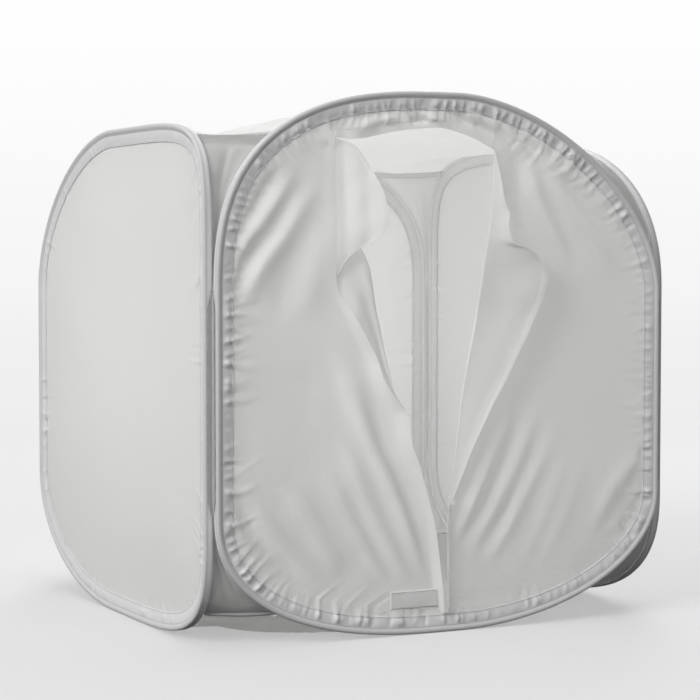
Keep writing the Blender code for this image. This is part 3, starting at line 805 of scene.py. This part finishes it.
class Front:
    """The front panel: its hem's side, its cut edge, and the folds between."""

    def __init__(self, face, puckers):
        self.face, self.puckers = face, puckers
        edges = (left_edge_points, header_edge_points, right_edge_points)
        self.left, self.header, self.right = (front_line(points, face) for points in edges)
        over = [face.share_near(self.header.points[tip][0], face.height) for tip in (0, -1)]
        foot_left = 1 + (self.left.points[0][0] - foot_length / 2) / face.perimeter
        foot_right = (self.right.points[-1][0] - foot_length / 2) / face.perimeter
        turns = (foot_left, over[0], over[1], foot_right)
        self.stretches = tuple(zip((self.left, self.header, self.right), turns, turns[1:], front_rows))

    def out(self, spots, share, depth, gap):
        """How far the panel stands out: folds, gathers, slack, and the curl of its cut edge."""
        along, up = spots[..., 0], spots[..., 1] / self.face.height
        calm = ease((depth - hem_depth + 0.004) / 0.020)
        loose = slack(spots, (0.11, 0.0020, 21), (0.035, 0.0007, 22))
        crumpled = ease((up - header_foot) / 0.03)
        loose += crumpled * cloud(along + 0.7 * spots[..., 1], spots[..., 1], 0.019, 23) * 0.0028
        low_left = ease((left_curl_top - up) / 0.06) * (along < 0)
        low_right = ease((right_curl_top - up) / 0.04) * (along > -0.004)
        bump = np.exp(-(((up - curl_peak) / 0.10) ** 2))
        wide, tall = curl_width + peak_curl_width * bump, curl_height + peak_curl_height * bump
        curl = low_left * tall * np.clip(1 - gap / wide, 0, 1) ** 1.6
        curl += right_curl * low_right * ease(1 - gap / right_curl_width)
        curl += plain_curl * (1 - low_left) * (1 - low_right) * ease(1 - gap / plain_curl_width)
        doubled = cloth_thickness * ease((edge_hem_width - gap) / 0.0012) * np.maximum(low_left, low_right)
        free = ease((depth - hem_depth) / 0.010)
        out = (fold_field(spots, self.face) + loose) * calm + (curl + doubled) * free
        return out + self.puckers.rise(share, depth)

    def grid(self):
        """Points from the hem to the cut edge, with their place on the hem and distance from each."""
        face = self.face
        turns, edges = [], []
        for line, start, end, count in self.stretches:
            share = np.linspace(0, 1, count, endpoint=line is self.right)
            turns.append(start + (end - start) * share)
            edges.append(line.at(share))
        turn, edge = np.concatenate(turns), np.vstack(edges)
        rim = face.rim(turn, panel_depth)
        near = face.rim(turn, hem_depth + gathered_width)
        room = np.linalg.norm(edge - rim, axis=1)
        near = rim + (near - rim) * np.minimum(1.0, room / narrowed_room)[:, None]
        outer, inner = (np.linspace(0, 1, count) for count in front_columns)
        steps = np.concatenate([outer, 1 + inner[1:]])
        first = np.clip(steps, 0, 1)[None, :, None]
        second = np.clip(steps - 1, 0, 1)
        second = (0.55 * second + 0.45 * np.sin(second * math.pi / 2))[None, :, None]
        spots = rim[:, None] + (near - rim)[:, None] * first + (edge - near)[:, None] * second
        gap = np.linalg.norm(spots - edge[:, None], axis=2)
        depth = np.full(gap.shape, face.half)
        for column in range(gathered_columns):
            away = spots[:, column][:, None] - face.line[None, ::4]
            depth[:, column] = np.linalg.norm(away, axis=2).min(1)
        return spots, np.broadcast_to(turn[:, None], gap.shape), depth, gap

    def cut(self, line, share):
        """Where a cut edge lies, with how far the panel stands out there."""
        spots = line.at(share)
        depth = np.linalg.norm(spots[:, None] - self.face.line[None], axis=2).min(1)
        none = np.zeros(len(spots))
        return spots, self.out(spots, none, np.maximum(depth, hem_depth + 0.05), none)


def make_front_panel(front, material):
    spots, share, depth, gap = front.grid()
    points = front.face.place(spots, front.out(spots, share, depth, gap))
    return cloth_grid("front_panel_cloth", points, material, uv=spots)


def turned_rows(front, line, points, rows):
    """The crease of turned cloth and its free edge, row by row."""
    free = front_line(points, front.face)
    ends = line.nearest([free.points[0], free.points[-1]])
    shares = np.linspace(0, 1, rows)
    crease, out = front.cut(line, ends[0] + (ends[1] - ends[0]) * shares)
    return crease, out, free.at(shares)


def spread(crease, tip, columns):
    """Points from a crease to a free edge, with the shares across and down that they lie at."""
    across, down = np.meshgrid(np.linspace(0, 1, columns), np.linspace(0, 1, len(crease)))
    return across, down, crease[:, None] + (tip - crease)[:, None] * across[..., None]


def make_left_lapel(front, material):
    """Upper corner of the left half: it bellies out from its crease to a blunt free tip."""
    crease, out, tip = turned_rows(front, front.left, left_lapel_points, 160)
    across, down, spots = spread(crease, tip, 60)
    away = np.linalg.norm(spots - crease[:, None], axis=2)
    soft = away**2 / (away + lapel_roll)
    waves = np.sin(2 * math.pi * (away - lapel_wave_start) / lapel_wave)
    rise = np.sin(np.pi * down) ** 0.7 * (
        lapel_slope * soft + lapel_wave_height * waves * ease(away / 0.015)
    )
    rise += slack(spots, (0.020, 0.0012, 31)) * ease(across * 2)
    rise += 0.0006 * ease((across - 0.88) / 0.05)
    points = front.face.place(spots, out[:, None] + rise)
    return cloth_grid("left_lapel_cloth", points, material, uv=spots)


def make_facing(front, material):
    """Cut edge below the left lapel, turned into the tent."""
    crease, out, tip = turned_rows(front, front.left, facing_points, 130)
    across, down, spots = spread(crease, tip, 40)
    body = np.sin(np.pi * down) ** 0.6
    drop = -facing_drop * across**0.8 * body
    drop += facing_wave * np.sin(across * 9.0 + 0.5) * across * body
    points = front.face.place(spots, out[:, None] + drop)
    return cloth_grid("left_facing_cloth", points, material, uv=spots)


def make_right_lapel(front, material):
    """Upper corner of the right half: rolled over its crease and lying back over the panel."""
    rows, columns, roll_columns = 200, 64, 12
    crease, out, tip = turned_rows(front, front.right, right_lapel_points, rows)
    down = np.linspace(0, 1, rows)[:, None]
    radius = right_roll * np.minimum(1, np.sin(math.pi * down) * 3 + 0.15)
    turn = np.linspace(0, math.pi, roll_columns)[None, :]
    way = tip - crease
    width = np.linalg.norm(way, axis=1)[:, None]
    way /= np.maximum(width, 1e-6)
    back = np.linspace(0, 1, columns - roll_columns + 1)[None, 1:]
    lie = np.hstack([0 * turn, back]) + 0 * down
    spots = crease[:, None] + way[:, None] * np.hstack([-radius * np.sin(turn), width * back])[..., None]
    body = np.interp(down[:, 0], *np.array(right_stand_shares).T)[:, None]
    height = np.hstack([radius * (1 - np.cos(turn)), 2 * radius + 0 * back])
    height = height + right_stand * body * lie**1.15
    height += slack(spots, (0.028, 0.0016, 41)) * lie * body
    height += right_wave * np.sin(lie * 7 + down * 8) * lie * (1 - 0.5 * lie) * body
    height += 0.0007 * ease((lie - 0.90) / 0.04) * ease(body * 4)
    under = fold_field(spots, front.face) * 0.55 + cloth_thickness
    points = front.face.place(spots, np.maximum(out[:, None], under * lie) + height)
    return cloth_grid("right_lapel_cloth", points, material, uv=spots)


# Corners, ceiling and floor


class Corner:
    """Where two hems meet, with the sewn edges of its webs."""

    def __init__(self, across, along):
        self.across, self.along = across, along
        self.name = across.name + "_" + along.name
        self.x = 1 if along.name == "right" else -1
        self.y = 1 if across.name == "back" else -1
        self.head_height = min(across.height, along.height) - web_drops[self.name]

    def edge(self, face, low_side, head):
        """Stretch of a hem that a web is sewn along, from the seam's end to the web's straight edge."""
        height = self.head_height if head else web_foot_height
        low, high = (seam_head, height) if head else (height, seam_foot)
        line = face.rim(face.even, attach_depth)
        side = line[(line[:, 0] < 0) == low_side]
        kept = side[(side[:, 1] >= low) & (side[:, 1] <= high)]
        kept = kept[np.argsort(kept[:, 1])][:: 1 if head else -1]
        last = side[np.abs(side[:, 1] - height).argmin()]
        return Line(np.vstack([kept, [(last[0], height)]]), smooth=False)

    def part(self, head):
        return self.name + ("_upper" if head else "_lower")

    def edges(self, head):
        return self.edge(self.across, self.x < 0, head), self.edge(self.along, self.y < 0, head)

    def chord(self, head):
        """Ends of the web's straight edge, clear of the inner face of each hem."""
        first, second = self.edges(head)
        inwards = hem_half + seat_gap + binding_radius
        return self.across.place(first.at(1), -inwards), self.along.place(second.at(1), -inwards)

    def cut(self, head):
        """Width, height and area of the web before it is sewn in, as it spans the two hems."""
        first, second = self.edges(head)
        v = np.linspace(0, 1, 60)
        start, end = self.across.place(first.at(v)), self.along.place(second.at(v))
        area = np.linalg.norm(np.cross(end[1:] - start[:-1], start[1:] - end[:-1]), axis=1).sum() / 2
        return np.linalg.norm(end[-1] - start[-1]), abs(start[-1, 2] - start[0, 2]), area

    def beside(self, head):
        """Level step from the straight edge to the edge of the ceiling or floor."""
        start, end = self.chord(head)
        step = np.array([start[1] - end[1], end[0] - start[0], 0.0])
        step /= np.linalg.norm(step)
        if step @ (start + end) > 0:
            step = -step
        return step * (binding_radius + seat_gap)

    def sheet_middle(self, head):
        start, end = self.chord(head)
        return (start + end) / 2 + self.beside(head)

    def sheet_end(self, face, head):
        """How far along a hem the edge of the ceiling or floor starts."""
        start, end = (tip + self.beside(head) for tip in self.chord(head))
        wall = face.place(np.zeros(2), -hem_half - seat_gap)
        axis = face.axis
        share = (wall[axis] - start[axis]) / (end[axis] - start[axis])
        return (start + (end - start) * share)[1 - axis]


def make_web(corner, head, material, seed, layer):
    """Triangle of cloth that spans a corner between two hems, one of its two layers."""
    first, second = corner.edges(head)
    rows, columns, tail_rows = 90, 44, 30
    u, v = np.meshgrid(np.linspace(0, 1, columns), np.linspace(0, 1, rows))
    rise = v[:, 0]
    clear = hem_half + seat_gap + cloth_thickness / 2
    clear = clear + (binding_radius - cloth_thickness / 2) * ease((rise - 0.86) / 0.08)
    clear = clear + layer_gap * layer * ease((0.90 - rise) / 0.10)
    start = corner.across.place(first.at(rise), -clear)
    end = corner.along.place(second.at(rise), -clear)
    spots = start[:, None] + (end - start)[:, None] * u[..., None]
    inwards = -spots * (1, 1, 0)
    inwards /= np.linalg.norm(inwards, axis=2)[..., None]
    belly = np.sin(u * np.pi)
    pull = web_pull * belly * np.sin(v * np.pi)
    length = np.linalg.norm(end - start, axis=1)[:, None]
    ripple = web_ripple * np.sin(u * 17 + v * 5 + seed) * belly
    ripple = ripple + web_crumple * cloud(u, v, 0.16, seed) * belly
    pull = pull + ripple * np.minimum(1, length / 0.05) * ease((0.97 - v) / 0.25)
    spots = spots + inwards * pull[..., None]
    middle = (seam_foot + seam_head) / 2
    tail = np.repeat(spots[:1], tail_rows, axis=0)
    tail[..., 2] = np.linspace(middle, spots[0, 0, 2], tail_rows, endpoint=False)[:, None]
    name = corner.part(head) + ("_web_lining" if layer else "_web_cloth")
    return cloth_grid(name, np.vstack([tail, spots]), material)


def make_binding(corner, head, material, thread, layer):
    """Tape folded over the straight edge of a web's layer, with its stitches on the outer one."""
    start, end = corner.chord(head)
    stations = 70
    share = np.linspace(0, 1, stations)
    middle = start + (end - start) * share[:, None]
    middle[:, 2] -= binding_dip * np.sin(share * np.pi)
    hang = np.array([0.0, 0.0, -1 if head else 1])
    inwards = corner.beside(head) / np.linalg.norm(corner.beside(head))
    rng = np.random.default_rng(len(corner.name) + head)
    swell = 1 + 0.12 * np.interp(share, np.linspace(0, 1, 15), rng.uniform(-1, 1, 15))
    size = lining_binding_share if layer else 1.0
    section = [*binding_profile, *((a, -b) for a, b in binding_profile[:0:-1])]
    points = np.stack([
        middle
        + hang * (depth * binding_depth - binding_radius) * size
        + inwards[None] * (thick * binding_radius * swell * size)[:, None]
        for depth, thick in section
    ], 1)
    index = np.arange(stations * len(section)).reshape(stations, -1)
    faces = quads(np.hstack([index, index[:, :1]]))
    faces += [index[0].tolist(), index[-1, ::-1].tolist()]
    skin = np.concatenate([[0], np.cumsum(np.linalg.norm(np.diff(points[0], axis=0), axis=1))])
    uv = np.stack(np.meshgrid(share * np.linalg.norm(end - start), skin, indexing="ij"), -1)
    name = corner.part(head) + ("_lining_binding" if layer else "_binding")
    tape = face_outwards(new_piece(name + "_tape", points, faces, material, uv))
    if layer:
        return tape, None
    line = middle + hang * (binding_depth * 0.82 - binding_radius)
    rows = []
    for side in (inwards, -inwards):
        rows.append(stitch_row(line + side * binding_radius * 0.52, np.repeat([side], stations, 0)))
    return tape, make_stitches(name + "_stitches", rows, thread)


def make_seam_tape(corner, material, thread):
    """Tape sewn in the outer angle between two hems, bent along the fold, with a row on each leg."""
    pivot = corner.across.plane - hem_half - seat_gap
    leg, bend, stations = seam_tape_leg, seam_tape_bend, 120
    up = np.linspace(seam_foot - tape_overrun, seam_head + tape_overrun, stations)
    profile = [(leg, 0.0), (leg * 0.6, 0.0), (bend * 2, 0.0)]
    for angle in np.linspace(0, math.pi / 2, 7)[1:-1]:
        profile.append((bend * (1 - math.sin(angle)), bend * (1 - math.cos(angle))))
    profile += [(0.0, bend * 2), (0.0, leg * 0.6), (0.0, leg)]
    profile = np.array(profile) + 0.0004
    wave = (0.00035 * np.sin(up * 210) + 0.00025 * np.sin(up * 520 + 1))[:, None] * 0.5
    ends = np.minimum(up - up[0], up[-1] - up)
    narrow = (0.12 + 0.88 * ease(ends / 0.022))[:, None]
    x = corner.x * (pivot + profile[None, :, 0] * narrow + wave)
    y = corner.y * (pivot + profile[None, :, 1] * narrow + wave[::-1])
    points = np.stack([x, y, np.broadcast_to(up[:, None], x.shape)], -1)
    tape = cloth_grid(corner.name + "_seam_tape_cloth", points, material)
    rows = []
    for a, b, way in ((leg * 0.7, 0.0008, (0, corner.y, 0)), (0.0008, leg * 0.7, (corner.x, 0, 0))):
        spot = np.array([corner.x * (pivot + a), corner.y * (pivot + b), 0.0])
        line = spot + up[:, None] * (0.0, 0.0, 1.0)
        rows.append(stitch_row(line, np.repeat([way], stations, 0)))
    return tape, make_stitches(corner.name + "_seam_stitches", rows, thread)


def make_end_sheet(name, faces, corners, head, material, seed):
    """Ceiling or floor: sewn along the hems and across the corners, its middle hanging slack."""
    order = {"front": (0, 1), "right": (1, 2), "back": (3, 2), "left": (0, 3)}
    shares = np.linspace(0, 1, 97)
    slant = 0.125
    edges = {}
    for face in faces:
        low, high = (corners[index] for index in order[face.name])
        line = face.rim(face.even[:-1], attach_depth)
        middle = line[:, 1].max() if head else line[:, 1].min()
        start, end = low.sheet_end(face, head), high.sheet_end(face, head)
        limit = ((seam_head if head else seam_foot) + middle) / 2
        band = line[(line[:, 1] > limit) == head]
        band = band[np.argsort(band[:, 0])]
        kept = band[(band[:, 0] > start) & (band[:, 0] < end)]
        tips = [(along, np.interp(along, *band.T)) for along in (start, end)]
        spots = face.place(np.vstack([tips[:1], kept, tips[1:]]), -hem_half - seat_gap)
        first = Line([low.sheet_middle(head), spots[0]], smooth=False)
        sewn = Line(spots, smooth=False)
        last = Line([spots[-1], high.sheet_middle(head)], smooth=False)
        rows = []
        for share in shares:
            if share <= slant:
                rows.append(first.at(share / slant))
            elif share >= 1 - slant:
                rows.append(last.at((share - 1 + slant) / slant))
            else:
                rows.append(sewn.at((share - slant) / (1 - 2 * slant)))
        edges[face.name] = np.array(rows)

    south, north, west, east = (edges[side] for side in ("front", "back", "left", "right"))
    u, v = np.meshgrid(shares, shares)
    u3, v3 = u[..., None], v[..., None]
    spots = south[None] * (1 - v3) + north[None] * v3 + west[:, None] * (1 - u3) + east[:, None] * u3
    spots -= (south[0] * (1 - u3) + south[-1] * u3) * (1 - v3) + (north[0] * (1 - u3) + north[-1] * u3) * v3
    rim = np.minimum(1, 6 * np.minimum(np.minimum(u, 1 - u), np.minimum(v, 1 - v)))
    loose = slack(spots, (0.12, 0.0022, seed), (0.04, 0.0009, seed + 1))
    if head:
        hollow = np.abs(np.sin(math.pi * u) * np.sin(math.pi * v)) ** 0.6
        spots[..., 2] += loose * rim - ceiling_sag * hollow
    else:
        spots[..., 2] = np.maximum(spots[..., 2], cloth_thickness) + np.abs(loose) * rim
    return cloth_grid(name + "_cloth", spots, material, uv=spots[..., :2])


# Label


def make_label(material, thread):
    """Bare sewn label: a folded ribbon with a row of stitches round its edge."""
    low, high = (np.array(tip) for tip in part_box("label"))
    u, v = np.meshgrid(np.linspace(0, 1, 60), np.linspace(0, 1, 24))
    puff = cloth_thickness * np.sin(np.pi * u) * np.sin(np.pi * v) + 0.0003 * np.sin(u * 14 + v * 3)
    x, z = low[0] + (high[0] - low[0]) * u, low[2] + (high[2] - low[2]) * v
    label = cloth_grid("label_ribbon", np.stack([x, low[1] - label_lift - puff, z], -1), material, rim=True)
    inset = 0.0016
    tips = np.array([(0, 0), (1, 0), (1, 1), (0, 1), (0, 0)])
    rows = []
    for start, end in zip(tips, tips[1:]):
        side = start + (end - start) * np.linspace(0, 1, 30)[:, None]
        px = low[0] + inset + (high[0] - low[0] - 2 * inset) * side[:, 0]
        pz = low[2] + inset + (high[2] - low[2] - 2 * inset) * side[:, 1]
        spots = np.stack([px, np.full(len(px), low[1] - label_stitch_lift), pz], 1)
        rows.append(stitch_row(spots, np.repeat([(0.0, -1.0, 0.0)], len(px), 0), pitch=label_stitch_pitch))
    return label, make_stitches("label_stitches", rows, thread)


# Stage, light and camera

floor_radius = 30.0
floor_levels = ((0.0, 0.765), (1.2, 0.815), (3.7, 0.863), (17.0, 0.905), (30.0, 0.920))
floor_fade = (-2.2, 3.0)
sky_levels = ((0.0, 0.920), (0.048, 0.956), (0.100, 0.990), (0.125, 1.0))
floor_bounce = 0.04
floor_colour = 0.83
world_strength = 0.25
lamp_aim = Vector((0, 0, 0.3))
lamps = (
    ("key", (-3.6, -1.6, 2.2), 2.6, 135),
    ("top", (0.0, 0.2, 3.3), 2.4, 22),
    ("back", (2.3, 3.4, 1.8), 2.2, 150),
    ("front", (0.8, -3.8, 1.6), 2.4, 21),
)
camera_azimuth = math.radians(-25.94)
camera_elevation = math.radians(2.935)
camera_distance = 2.8122
camera_aim = Vector((0, 0, 0.31))
camera_lens = {"sensor_width": 36.0, "lens": 109.5, "shift_x": 0.0210, "shift_y": 0.0159}


def seen_directly(tree):
    """1 where the camera looks, straight or in a reflection, and 0 for the light that falls on things."""
    path = add(tree, "ShaderNodeLightPath")
    return maths(tree, "MAXIMUM", path.outputs["Is Camera Ray"], path.outputs["Is Glossy Ray"])


def make_stage():
    """Pale floor that fades into a pale background."""
    bpy.ops.mesh.primitive_circle_add(vertices=128, radius=floor_radius, fill_type="NGON", location=(0, 0, 0))
    floor = bpy.context.object
    floor.name = "stage_floor"
    material, tree, shader = new_material("stage_floor")
    far = add(tree, "ShaderNodeVectorMath", {0: coordinates(tree)}, operation="LENGTH").outputs["Value"]
    fade = reach_of(tree, far, *floor_fade, "SMOOTHSTEP")
    stops = [(distance / floor_radius, grey) for distance, grey in floor_levels]
    level = greys(tree, reach_of(tree, far, 0.0, floor_radius), stops)
    glow = add(tree, "ShaderNodeEmission", {"Color": level})
    seen = seen_directly(tree)
    tone = tinted(tree, seen, (1.0, 1.0, 1.0), floor_bounce, floor_colour)
    fill(shader, {"Base Color": tone, "Roughness": 0.9, "Specular IOR Level": 0.0})
    show(tree, tree.nodes["Material Output"], maths(tree, "MULTIPLY", seen, fade), shader, glow)
    floor.data.materials.append(material)


def make_world():
    """Even light from all round; the camera sees a pale gradient that joins the floor's edge."""
    world = bpy.data.worlds.new("pale")
    bpy.context.scene.world = world
    world.use_nodes = True
    tree = world.node_tree
    tree.nodes.clear()
    output = add(tree, "ShaderNodeOutputWorld")
    even = add(tree, "ShaderNodeBackground", {"Strength": world_strength, "Color": (1.0, 1.0, 1.0, 1.0)})
    height = add(tree, "ShaderNodeSeparateXYZ", {0: coordinates(tree, "Generated")}).outputs["Z"]
    sky = add(tree, "ShaderNodeBackground", {"Strength": 1.0, "Color": greys(tree, height, sky_levels)})
    show(tree, output, seen_directly(tree), even, sky)


def make_lamps():
    """Four broad lamps, and a faint one inside for the light that bounces about between the white walls."""
    for name, place, size, power in lamps:
        data = bpy.data.lights.new(name, "AREA")
        data.shape, data.size, data.energy = "SQUARE", size, power
        lamp = add_object(name, data)
        lamp.location = place
        lamp.rotation_euler = (lamp_aim - Vector(place)).to_track_quat("-Z", "Y").to_euler()
    glow = bpy.data.lights.new("inside", "POINT")
    glow.energy, glow.shadow_soft_size = 1.25, 0.14
    add_object("inside", glow).location = (0, 0, 0.32)


def make_camera():
    """Camera at the photograph's angle, distance and framing."""
    level = math.cos(camera_elevation)
    back = Vector(
        (math.sin(camera_azimuth) * level, -math.cos(camera_azimuth) * level, math.sin(camera_elevation))
    )
    data = bpy.data.cameras.new("camera")
    for key, value in camera_lens.items():
        setattr(data, key, value)
    camera = add_object("camera", data)
    camera.location = camera_aim + back * camera_distance
    camera.rotation_euler = (-back).to_track_quat("-Z", "Y").to_euler()
    bpy.context.scene.camera = camera


# Everything together


def declare(item, slot, node=None, body=None, **flat_cloth):
    """Attach an item to the body that carries it and hide the CAD node that it replaces; its material slot
    and flat cloth are not used.
    """
    if body:
        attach(item, body)
    if node:
        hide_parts(node)


def join_bodies(item, corner):
    """Bake a corner piece, which lies between two faces that a joint joins, in place; the back right one
    rides one face.
    """
    if corner.name == "back_right":
        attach(item, "right")
        return
    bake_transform(item)


def fold_onto(item, face):
    """Let an item ride a face, with a mesh of its own."""
    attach(item, face.name)
    middle = face.place(np.array([0.0, face.height / 2]))
    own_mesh(item)


make_camera()
bpy.context.scene.view_settings.view_transform = "Standard"
make_stage()
make_world()
make_lamps()

# Painted shade on the hems, by distance along the skin from the tip, the outer skin positive: the outer skin
# darker than the inner one, darkest at the tip, with two thin dark lines across it
hem_painted_shade = (
    (-0.0300, 0.98), (-0.0050, 0.98), (-0.0015, 0.84), (0.0000, 0.64), (0.0015, 0.68), (0.0045, 0.80),
    (0.0110, 0.85), (0.0122, 0.76), (0.0134, 0.99), (0.0240, 1.02), (0.0250, 0.92), (0.0262, 1.00),
    (0.0300, 1.00),
)
white = make_cloth("white_cloth", (0.96, 0.96, 0.955), 0.55, shade=0.012)
hem_stuff = make_cloth("hem_cloth", (0.93, 0.93, 0.93), 0.12, 0.0008, 0.0003, bands=hem_painted_shade)
# Painted shade: the front corners' webs are a darker copy of the white cloth, and their seam tapes and
# bindings a darker copy of the tape
shaded_web_stuff = make_cloth("web_cloth", (0.80, 0.80, 0.795), 0.50, shade=0.012)
tape_stuff = make_cloth("tape_cloth", (0.84, 0.84, 0.84), 0.10, 0.0011, 0.0002)
shaded_tape_stuff = make_cloth("edge_cloth", (0.50, 0.50, 0.50), 0.10, 0.0011, 0.0002)
ribbon = make_cloth("label_cloth", (0.97, 0.97, 0.96), 0.05, 0.0005, 0.0001)
thread = make_thread("sewing_thread", (0.55, 0.55, 0.55))
steel = make_metal("spring_steel", (0.30, 0.32, 0.36), 0.26, 60.0, (40.0, 40.0, 4.0))
zinc = make_metal("zinc", (0.62, 0.62, 0.60), 0.36, 90.0, (6.0, 6.0, 1.0))

for node_name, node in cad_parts.items():
    if node_name.endswith(("_hoop", "_ferrule")):
        node.data.materials.clear()
        node.data.materials.append(steel if node_name.endswith("_hoop") else zinc)

faces = {name: Face(name) for name in ("front", "left", "back", "right")}
front_patches = ((0.42, 0.05, 1.4), (0.86, 0.04, 1.0), (0.12, 0.04, 0.8))
gathers = {"front": Puckers(faces["front"], 3, 640, 0.0025, front_patches)}
for name, seed in (("left", 7), ("back", 11), ("right", 17)):
    gathers[name] = Puckers(faces[name], seed, 300, 0.0016)

for name, face in faces.items():
    flat = {"flat": (face.perimeter, hem_flat_width), "held": "stretched", "rests_on": [name + "_hoop"]}
    declare(make_hem(face, gathers[name], hem_stuff), "hem_cloth", name + "_hem", name, **flat)
    declare(hem_stitches(face, gathers[name], thread), "hem_cloth", body=name)

for name, seed in (("left", 51), ("back", 61), ("right", 71)):
    face = faces[name]
    side, tall = 2 * (face.half - panel_depth), face.height - 2 * panel_depth
    flat = {"flat": (side, tall), "held": "stretched", "rests_on": [name + "_hem_cloth"]}
    flat["area"] = rounded_share * side * tall
    declare(make_panel(face, gathers[name], white, seed), "white_cloth", name + "_panel", name, **flat)

# Front sheets: size laid flat, and the share of that rectangle that is cloth
front = Front(faces["front"], gathers["front"])
front_sheets = (
    (make_front_panel, "front_panel", "front", (0.572, 0.615), 0.76, "stretched", "front_hem_cloth"),
    (make_left_lapel, "left_lapel", None, (0.062, 0.160), 0.67, "folded", "front_panel_cloth"),
    (make_facing, "left_facing", "front", (0.050, 0.186), 0.60, "folded", "front_panel_cloth"),
    (make_right_lapel, "right_lapel", "right_lapel", (0.110, 0.425), 0.39, "folded", "front_panel_cloth"),
)
for make, node, body, (width, height), share, held, below in front_sheets:
    flat = {"flat": (width, height), "held": held, "rests_on": [below], "area": share * width * height}
    item = make(front, white)
    declare(item, "white_cloth", node, body, **flat)
    if node == "left_lapel":
        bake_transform(item)

corners = [
    Corner(faces[across], faces[along])
    for across, along in (("front", "left"), ("front", "right"), ("back", "right"), ("back", "left"))
]
for number, corner in enumerate(corners):
    in_front = corner.across is faces["front"]
    # The front corners take the copies in painted shade, the back ones the plain white cloth and tape
    edging, web_cloth = (shaded_tape_stuff, shaded_web_stuff) if in_front else (tape_stuff, white)
    hems = [face.name + "_hem_cloth" for face in (corner.across, corner.along)]
    tape, seams = make_seam_tape(corner, edging, thread)
    flat = {"flat": (seam_tape_width, seam_head - seam_foot + 2 * tape_overrun), "held": "stretched"}
    declare(tape, "tape_cloth", corner.name + "_seam_tape", **flat)
    declare(seams, "tape_cloth")
    for item in (tape, seams):
        join_bodies(item, corner)
    for head in (True, False):
        width, rise, area = corner.cut(head)
        for layer, face in enumerate((corner.across, corner.along)):
            web = make_web(corner, head, web_cloth, 81 + 2 * number + head, layer)
            flat = {"flat": (width, rise), "held": "stretched", "rests_on": hems, "area": area}
            declare(web, "white_cloth", corner.part(head) + "_web", **flat)
            tape, seams = make_binding(corner, head, edging, thread, layer)
            flat = {"flat": (width, binding_flat_widths[layer]), "held": "folded", "rests_on": [web]}
            declare(tape, "tape_cloth", corner.part(head) + "_binding", **flat)
            fold_onto(web, face)
            fold_onto(tape, face)
            if seams:
                declare(seams, "tape_cloth")
                fold_onto(seams, face)

for name, head, seed in (("ceiling", True, 91), ("floor", False, 95)):
    sheet = make_end_sheet(name, faces.values(), corners, head, white, seed)
    width, share = end_sheet_flat
    declare(sheet, "white_cloth", name, flat=(width, width), held="stretched", area=share * width * width)
    fold_onto(sheet, faces["front"])

label, seams = make_label(ribbon, thread)
flat = {"flat": (0.064, 0.021), "held": "laid", "rests_on": ["front_panel_cloth"]}
declare(label, "label_cloth", "label", "front", **flat)
declare(seams, "label_cloth", body="front")
